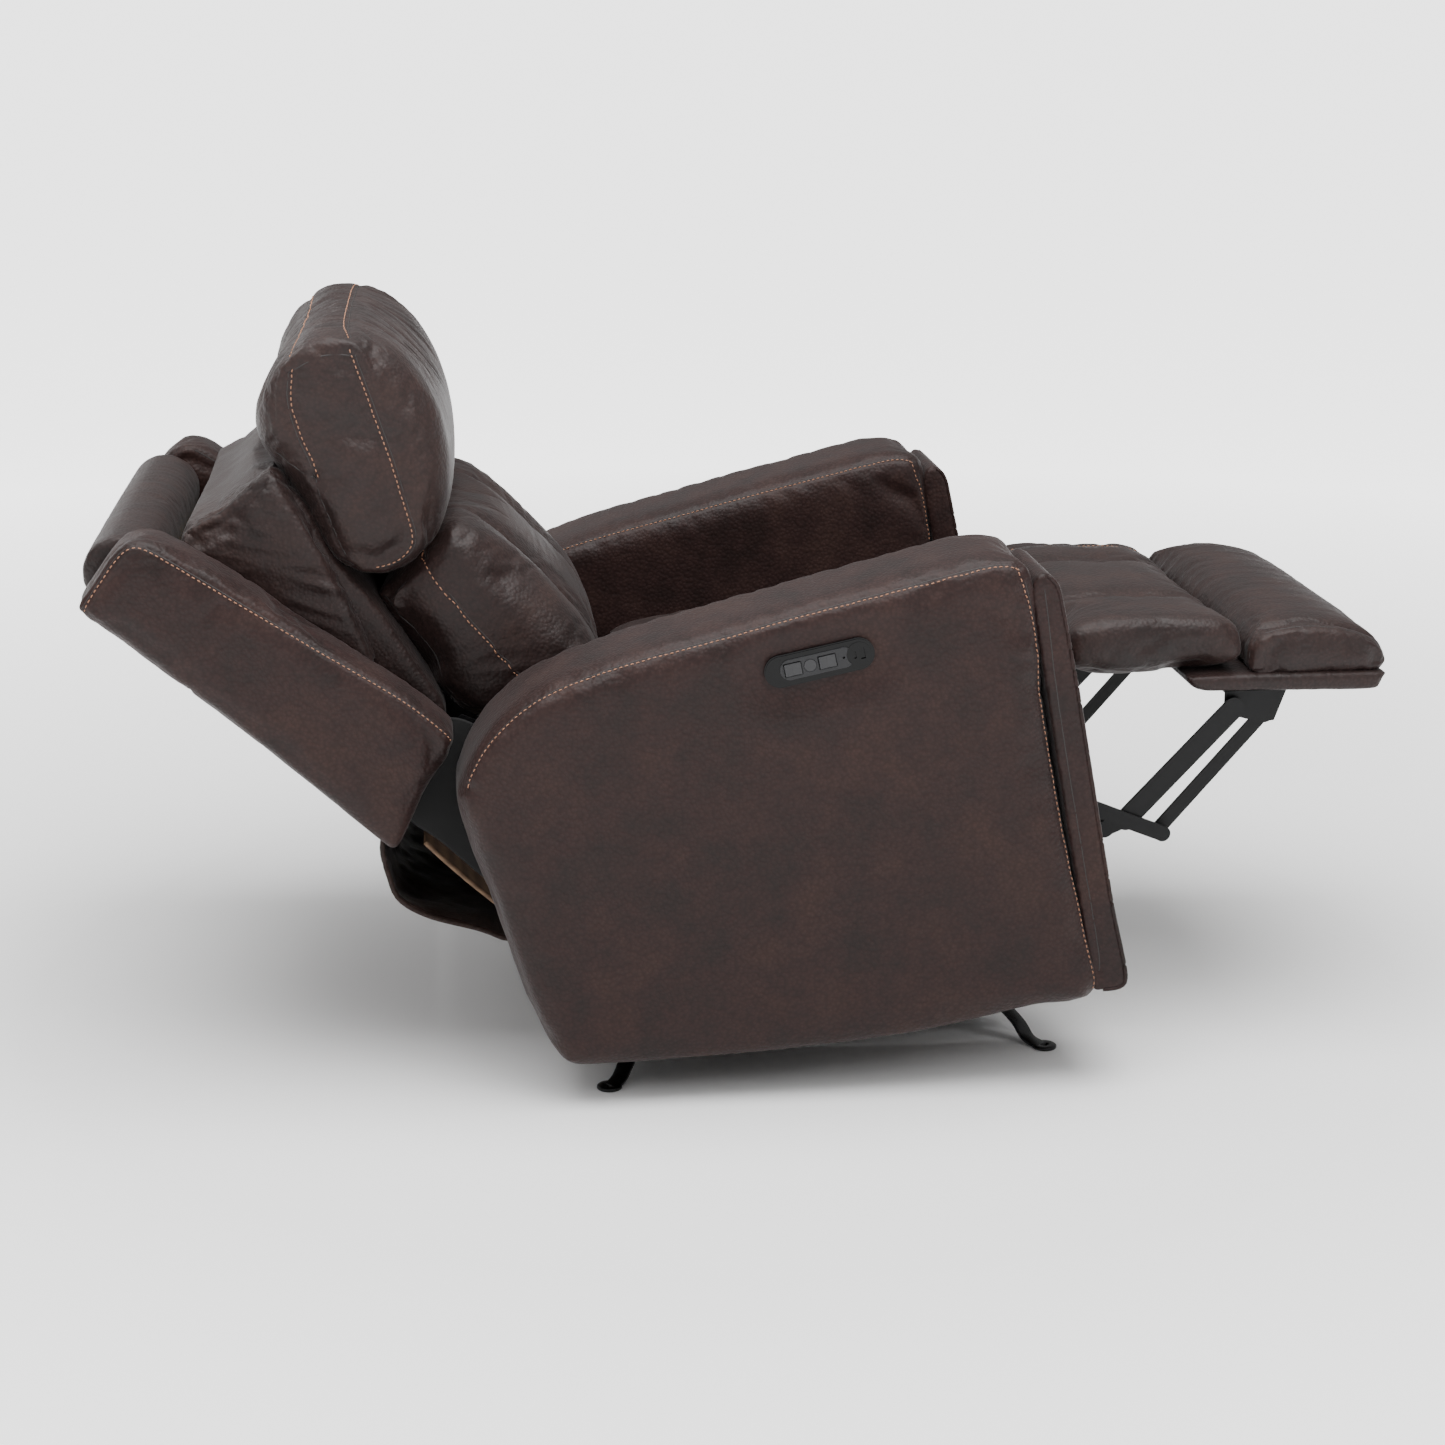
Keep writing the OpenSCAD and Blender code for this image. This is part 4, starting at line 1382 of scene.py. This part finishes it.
@dataclass
class FootRest:
    """The raised footrest: a long calf pad, a fat pillow at the feet and the wrapped board under both."""

    bolster_outline: tuple[Flat, ...] = (
        (622, 460), (612, 482), (616, 502), (638, 517), (690, 523), (738, 517), (774, 502), (788, 484),
        (784, 464), (700, 458),
    )
    chaise_outline: tuple[Flat, ...] = (
        (386, 472), (388, 506), (402, 524), (441, 531), (504, 531), (568, 529), (598, 519), (609, 500),
        (604, 468), (540, 466), (470, 458), (420, 460),
    )

    board_outline: tuple[Flat, ...] = (
        (541, 461), (542, 452), (550, 445), (566, 442), (596, 442), (666, 441), (765, 440), (778, 444),
        (781, 454), (776, 464), (640, 464), (600, 463),
    )

    def pieces(self) -> list[PaddedPiece]:
        """Returns the padded pieces of the footrest."""
        rear = ((616, 480), (619, 503), (640, 517), (690, 523), (738, 517), (774, 502), (787, 484))
        edges = [Seam(at_y(rear, s * 258), SeamKind.PLAIN, depth=0.8, width=7, gather=0.9) for s in BOTH]
        bolster = PaddedPiece(
            "footrest_pillow", "ottoman", ("footrest_cushion",), "leather_cushion", CUSHION_LEATHER,
            self.bolster_outline, (-266, 266), rounding=(20, 9), voxel=5.0, cap=8.0, start_inset=1.5,
            shrink=-0.03,
            seams=tuple(edges),
            wrinkles=(
                Wrinkle((640, 0, 515), (45, 300, 60), (1, 0, 0.4), 22, 1.2, 3.0),
                Wrinkle((720, 0, 520), (80, 280, 60), (1, 0, -0.2), 34, 0.8, 6.0),
                Wrinkle((628, -262, 490), (16, 20, 30), (0.3, 0, 1), 12, 3.0, 1.0),
            ),
        )
        near = ((388, 500), (398, 520), (420, 529), (486, 532), (560, 530), (598, 518), (608, 500))
        seams = [Seam(at_y(near, s * 110), SeamKind.PLAIN, depth=2.0, width=8, gather=0.8) for s in BOTH]
        seams.append(Seam(at_y(near, 222), offset=(0, -5.0, 0), depth=1.6, width=8, gather=0.6))
        calf = PaddedPiece(
            "calf_pad", "ottoman", ("chaise_pad",), "leather_cushion", CUSHION_LEATHER,
            self.chaise_outline, (-266, 266), rounding=(26, 16), voxel=5.5, cap=9.0, start_inset=3.0,
            shrink=-0.03, seams=tuple(seams), trim_in_mesh=True,
            fold=Fold("footrest", (1.0, 0.0, 0.0), (0.60, 0.0, 0.47), 0.18),
            wrinkles=(
                Wrinkle((440, -200, 530), (60, 60, 60), (1, 0.5, 0.1), 16, 1.2, 2.0),
                Wrinkle((500, 0, 530), (110, 120, 60), (0.2, 1, 0), 30, 0.7, 4.0),
                Wrinkle((490, -262, 480), (90, 30, 22), (1, 0, -0.6), 12, 2.0, 6.0),
                Wrinkle((490, 262, 480), (90, 30, 22), (1, 0, -0.6), 12, 2.0, 7.0),
            ),
        )
        board = PaddedPiece(
            "footrest_board_cover", "ottoman", ("footrest_board",), "wrapped_board", CUSHION_LEATHER,
            self.board_outline, (-268, 268), rounding=(9, 6), voxel=5.0, cap=3.0, start_inset=0.5, pressure=1.0,
            fill=0.5, wrinkles=(Wrinkle((650, -268, 450), (140, 20, 20), (0.4, 0, 1), 26, 0.9, 2.0),),
        )
        return [calf, bolster, board]


@dataclass
class Underside:
    """What shows below: the loose flap, rear panel, slat, black lining, rocker springs and feet."""

    palette: Palette
    half: float = 283.0
    flap_line: tuple[Flat, ...] = (
        (-436, 312), (-443, 279), (-436, 244), (-424, 214), (-389, 192), (-330, 174), (-303, 162), (-294, 160),
    )
    panel_outline: tuple[Flat, ...] = (
        (-240, 66), (-262, 100), (-281, 134), (-290, 156), (-283, 159), (-273, 134), (-254, 100), (-234, 70),
    )

    front_strap: tuple[Point, ...] = (
        (296, 226, 40), (304, 236, 41), (322, 252, 38), (338, 270, 24), (348, 284, 8), (358, 294, 3),
        (366, 301, 2.4), (366, 301, 0),
    )
    rear_strap: tuple[Point, ...] = (
        (-116, 226, 40), (-122, 240, 41), (-138, 300, 38), (-156, 345, 22), (-166, 362, 8), (-174, 372, 3),
        (-180, 378, 2.4), (-180, 378, 0),
    )

    def build(self) -> None:
        """Makes every loose part."""
        self.flap()
        self.springs()
        self.slat()
        for end in (self.front_strap, self.rear_strap):
            for side in Side:
                self.foot(end, side)
        for side in Side:
            self.lining(side)

    def panel(self) -> PaddedPiece:
        """Returns the leather panel across the rear of the base."""
        return PaddedPiece(
            "base_rear_panel", "chair_body", ("rear_panel",), "leather_rear", REAR_LEATHER, self.panel_outline,
            (-277, 277), rounding=(4, 2), voxel=4.0, cap=2.0, start_inset=0.0, pressure=1.0, fill=0.3,
            wrinkles=(Wrinkle((-270, 0, 110), (40, 260, 60), (0.4, 0.2, 1), 50, 1.5, 3.0),),
        )

    def hanging(
        self, name: str, line: np.ndarray, half: float, thick: float, wave: float, finish: str
    ) -> bpy.types.Object:
        """A limp sheet that hangs along a line, with soft folds across it.

        Args:
            name: Piece name.
            line: Rows of x and z in millimetres.
            half: How far it reaches to each side, in millimetres.
            thick: Thickness in millimetres.
            wave: Height of its folds in millimetres.
            finish: Its material.

        Returns:
            The sheet's object.
        """
        across = np.linspace(-half, half, max(int(2 * half / 7), 6))
        tangent = np.gradient(line, axis=0)
        tangent /= np.linalg.norm(tangent, axis=1)[:, None]
        normal = np.stack([-tangent[:, 1], tangent[:, 0]], 1)
        skins = []
        for offset in (-thick / 2, thick / 2):
            for y in across:
                broad = [noise.noise(Vector((i * 0.16, y / 55.0, 1.7))) for i in range(len(line))]
                small = [noise.noise(Vector((i * 0.5, y / 18.0, 4.1))) for i in range(len(line))]
                fold = np.array(broad) + 0.5 * np.array(small)
                ease = np.minimum(np.arange(len(line)), np.arange(len(line))[::-1]) / 6.0
                moved = line + normal * (offset + wave * fold * np.minimum(ease, 1.0))[:, None]
                skins.append(np.stack([moved[:, 0], np.full(len(line), y), moved[:, 1]], 1) * MM)
        rows = len(across)
        n = len(line)
        faces: list[Sequence[int]] = []
        for r in range(rows - 1):
            for i in range(n - 1):
                a, b = r * n + i, (r + 1) * n + i
                faces.append((a, a + 1, b + 1, b))
                a, b = a + rows * n, b + rows * n
                faces.append((a, b, b + 1, a + 1))
        rim = [r * n for r in range(rows)] + [(rows - 1) * n + i for i in range(1, n)]
        rim += [r * n + n - 1 for r in range(rows - 2, -1, -1)] + list(range(n - 2, 0, -1))
        for a, b in zip(rim, rim[1:] + rim[:1]):
            faces.append((a, b, b + rows * n, a + rows * n))
        return mesh_object(name, np.vstack(skins), faces, self.palette.get(finish))

    def slat(self) -> None:
        """Lays the bare hardboard slat that closes the base behind the lining."""
        line = curve_through(((-392, 284), (-352, 244), (-312, 208), (-280, 186)), 6.0)
        board = self.hanging("bare_hardboard_slat", line, 282.0, 5.0, 0.6, "pressed_hardboard")
        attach(board, "chair_body")

    def foot(self, strap: tuple[Point, ...], side: Side) -> None:
        """Stamps one foot: a steel strap twisting down from the base rail to a round pad with a screw hole.

        Args:
            strap: The strap's middle line on the left side, in millimetres, ending at the pad's centre.
            side: Which side.
        """
        line = curve_through(strap[:-1], 4.0)
        half_w, half_t, pad_r, hole_r = 10.0, 2.0, 15.0, 3.6
        corner = ((-1, -1), (-0.9, -1.25), (0.9, -1.25), (1, -1), (1, 1), (0.9, 1.25), (-0.9, 1.25), (-1, 1))
        rings = []
        for p, t in zip(line, frames_along(line)):
            wide = np.cross(t, [0.0, 0.0, 1.0])
            wide /= np.linalg.norm(wide)
            up = np.cross(wide, t)
            rings.append(np.array([p + wide * half_w * u + up * half_t * 0.8 * v for u, v in corner]))
        verts, faces = loft(rings)
        x, y, _ = strap[-1]
        turn = np.linspace(0, 2 * math.pi, 40, endpoint=False)
        profile = (
            (hole_r, 0.4), (pad_r - 1, 0.0), (pad_r, 0.8), (pad_r, 3.4), (pad_r - 1.2, 4.4),
            (hole_r + 2.5, 4.4), (hole_r, 3.2),
        )
        pad = np.array([(x + r * math.cos(a), y + r * math.sin(a), h) for r, h in profile for a in turn])
        n = len(turn)
        base = len(verts)
        for k in range(len(profile)):
            for i in range(n):
                j, m = (i + 1) % n, (k + 1) % len(profile)
                faces.append((base + k * n + i, base + k * n + j, base + m * n + j, base + m * n + i))
        rows = np.vstack([verts, pad]) * MM
        rows[:, 1] *= side.value
        if side is Side.RIGHT:
            faces = [tuple(reversed(f)) for f in faces]
        word = "front" if x > 0 else "rear"
        finish = self.palette.get("powder_coated_foot_steel")
        made = mesh_object(f"stamped_foot_{word}_{side.word}", rows, faces, finish)
        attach(made, "base")
        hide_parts(f"foot_{word}_{side.word}")

    def flap(self) -> None:
        """Hangs the loose leather flap between the back and the base."""
        line = curve_through(self.flap_line, 8.0)
        sheet = self.hanging("loose_rear_flap", line, self.half, 2.4, 5.0, REAR_LEATHER)
        for y in (-self.half, self.half):
            hem = np.stack([line[:, 0], np.full(len(line), y), line[:, 1]], 1) * MM
            verts, faces = tube(hem, 3.4 * MM, 8)
            join(sheet, mesh_object("rolled_hem", verts, faces, self.palette.get(REAR_LEATHER)))
        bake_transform(sheet)
        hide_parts("rear_flap")

    def lining(self, side: Side) -> None:
        """Hangs the black lining between one arm and the back.

        Args:
            side: Which side.
        """
        s = side.value
        outline = (
            (-424, 352), (-404, 420), (-352, 440), (-300, 400), (-285, 300), (-274, 212), (-318, 236),
            (-372, 286), (-412, 318),
        )
        front, back, slope = 289.2, 287.2, 0.3
        ring = anticlockwise(curve_through(outline, 10.0, closed=True))
        rings = [inset(ring, depth) for depth in (34.0, 22.0, 11.0, 3.0, 0.0)]
        layers = [(r, front - k * slope) for k, r in enumerate(rings)] + [(r, back) for r in reversed(rings)]
        verts, faces = loft([np.stack([r[:, 0], np.full(len(r), s * y), r[:, 1]], 1) * MM for r, y in layers])
        sheet = mesh_object(f"black_lining_{side.word}", verts, faces, self.palette.get(LINING))
        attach(sheet, "chair_body")

    def springs(self) -> None:
        """Winds the four coil springs between the base and the rocking body."""
        low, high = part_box("rocker_springs")
        radius, wire, seat_r, turns = 11.3 * MM, 1.7 * MM, 13 * MM, 8
        parts = []
        for x in (low.x + seat_r, high.x - seat_r):
            for y in (low.y + seat_r, high.y - seat_r):
                turn = np.linspace(0, turns * 2 * math.pi, turns * 18)
                share = np.clip((turn / (2 * math.pi) - 1) / (turns - 2), 0, 1)
                rise = low.z + wire + (high.z - low.z - 2 * wire) * share
                coil = np.stack([x + radius * np.cos(turn), y + radius * np.sin(turn), rise], 1)
                parts.append(tube(coil, wire))
        verts, faces = merged(parts)
        springs = mesh_object("rocker_coil_springs", verts, faces, self.palette.get("drawn_spring_steel"))
        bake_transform(springs)
        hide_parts("rocker_springs")


# ---------- Studio ----------


@dataclass
class Studio:
    """Camera, pale floor and soft light."""

    camera_at: Point = (-0.359, -3.480, 1.282)
    camera_turn: Point = (math.radians(90 - 14.95), 0.0, math.radians(-5.8))
    lens: float = 69.26

    def build(self) -> None:
        """Sets up the camera, floor, lights and world."""
        data = bpy.data.cameras.new("studio_camera")
        data.lens = self.lens
        data.sensor_width = 36.0
        camera = bpy.data.objects.new("studio_camera", data)
        camera.location = self.camera_at
        camera.rotation_euler = self.camera_turn
        bpy.context.scene.collection.objects.link(camera)
        bpy.context.scene.camera = camera
        self.floor()
        self.lamp("overhead_softbox", (-0.1, -0.8, 3.2), (0.0, 0.1, 0.4), (3.6, 2.8), 225.0)
        self.lamp("rear_softbox", (-2.4, 2.4, 2.4), (0.0, 0.0, 0.5), (2.2, 1.4), 22.0)
        self.lamp("side_softbox", (-2.8, -3.0, 2.3), (0.0, 0.0, 0.4), (2.4, 1.6), 20.0)
        self.lamp("front_fill", (1.6, -3.0, 2.8), (0.0, 0.3, 0.5), (2.2, 1.6), 34.0)
        self.world()

    def floor(self) -> None:
        """A plain pale floor that runs out of sight, with a painted glow that grows away from the chair."""
        reach = 700.0
        verts = np.array([(-reach, -reach, 0), (reach, -reach, 0), (reach, reach, 0), (-reach, reach, 0)])
        material, tree, shader = new_material("painted_studio_floor")
        speck = add_node(tree, "ShaderNodeTexNoise", {"Scale": 30.0, "Detail": 2.0})
        tone = ramp(tree, speck.outputs["Fac"], [(0.3, "#f4f4f4"), (0.7, "#f7f7f7")])
        tree.links.new(tone, shader.inputs["Base Color"])
        shader.inputs["Roughness"].default_value = 0.7
        shader.inputs["Specular IOR Level"].default_value = 0.2
        # Painted glow, like a lit sweep: the floor's colour is plain, and the light it emits grows from one
        # metre out to four.
        place = add_node(tree, "ShaderNodeTexCoord").outputs["Object"]
        far = add_node(tree, "ShaderNodeVectorMath", {"operation": "LENGTH"}, {0: place}).outputs["Value"]
        glow = add_node(
            tree,
            "ShaderNodeMapRange",
            {"From Min": 0.9, "From Max": 4.0, "To Min": 0.0, "To Max": 2.4},
            {"Value": far},
        )
        shader.inputs["Emission Color"].default_value = (1.0, 1.0, 1.0, 1.0)
        tree.links.new(glow.outputs["Result"], shader.inputs["Emission Strength"])
        floor = mesh_object("studio_floor", verts, [(0, 1, 2, 3)], material)

    def lamp(self, name: str, at: Point, aim: Point, size: Flat, power: float) -> None:
        """Adds one soft box.

        Args:
            name: The lamp's name.
            at: Where it hangs.
            aim: What it points at.
            size: Width and height in metres.
            power: Watts.
        """
        data = bpy.data.lights.new(name, "AREA")
        data.shape = "RECTANGLE"
        data.size, data.size_y = size
        data.energy = power
        lamp = bpy.data.objects.new(name, data)
        lamp.location = at
        lamp.rotation_euler = (Vector(aim) - Vector(at)).to_track_quat("-Z", "Y").to_euler()
        bpy.context.scene.collection.objects.link(lamp)

    def world(self) -> None:
        """An even white room."""
        world = bpy.data.worlds.new("white_room")
        world.use_nodes = True
        tree = world.node_tree
        back = tree.nodes["Background"]
        aim = add_node(tree, "ShaderNodeTexCoord").outputs["Generated"]
        height = add_node(tree, "ShaderNodeSeparateXYZ", {}, {"Vector": aim}).outputs["Z"]
        tone = ramp(tree, height, [(0.0, "#7a7a7a"), (0.25, "#929292"), (0.8, "#e6e6e6")])
        tree.links.new(tone, back.inputs["Color"])
        back.inputs["Strength"].default_value = 1.0
        bpy.context.scene.world = world


def main() -> None:
    """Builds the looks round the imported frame."""
    logging.basicConfig(level=logging.INFO, format="%(name)s: %(message)s")
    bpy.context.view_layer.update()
    Studio().build()
    palette = Palette()
    palette.build()
    palette.dress_frame(frame)
    room = SewingRoom(palette)
    for assembly in (Arms(), BackRest(), HeadRest(), Seat(), FootRest()):
        room.pieces += assembly.pieces()
    underside = Underside(palette)
    room.pieces.append(underside.panel())
    room.run()
    underside.build()


if __name__ == "__main__":
    main()
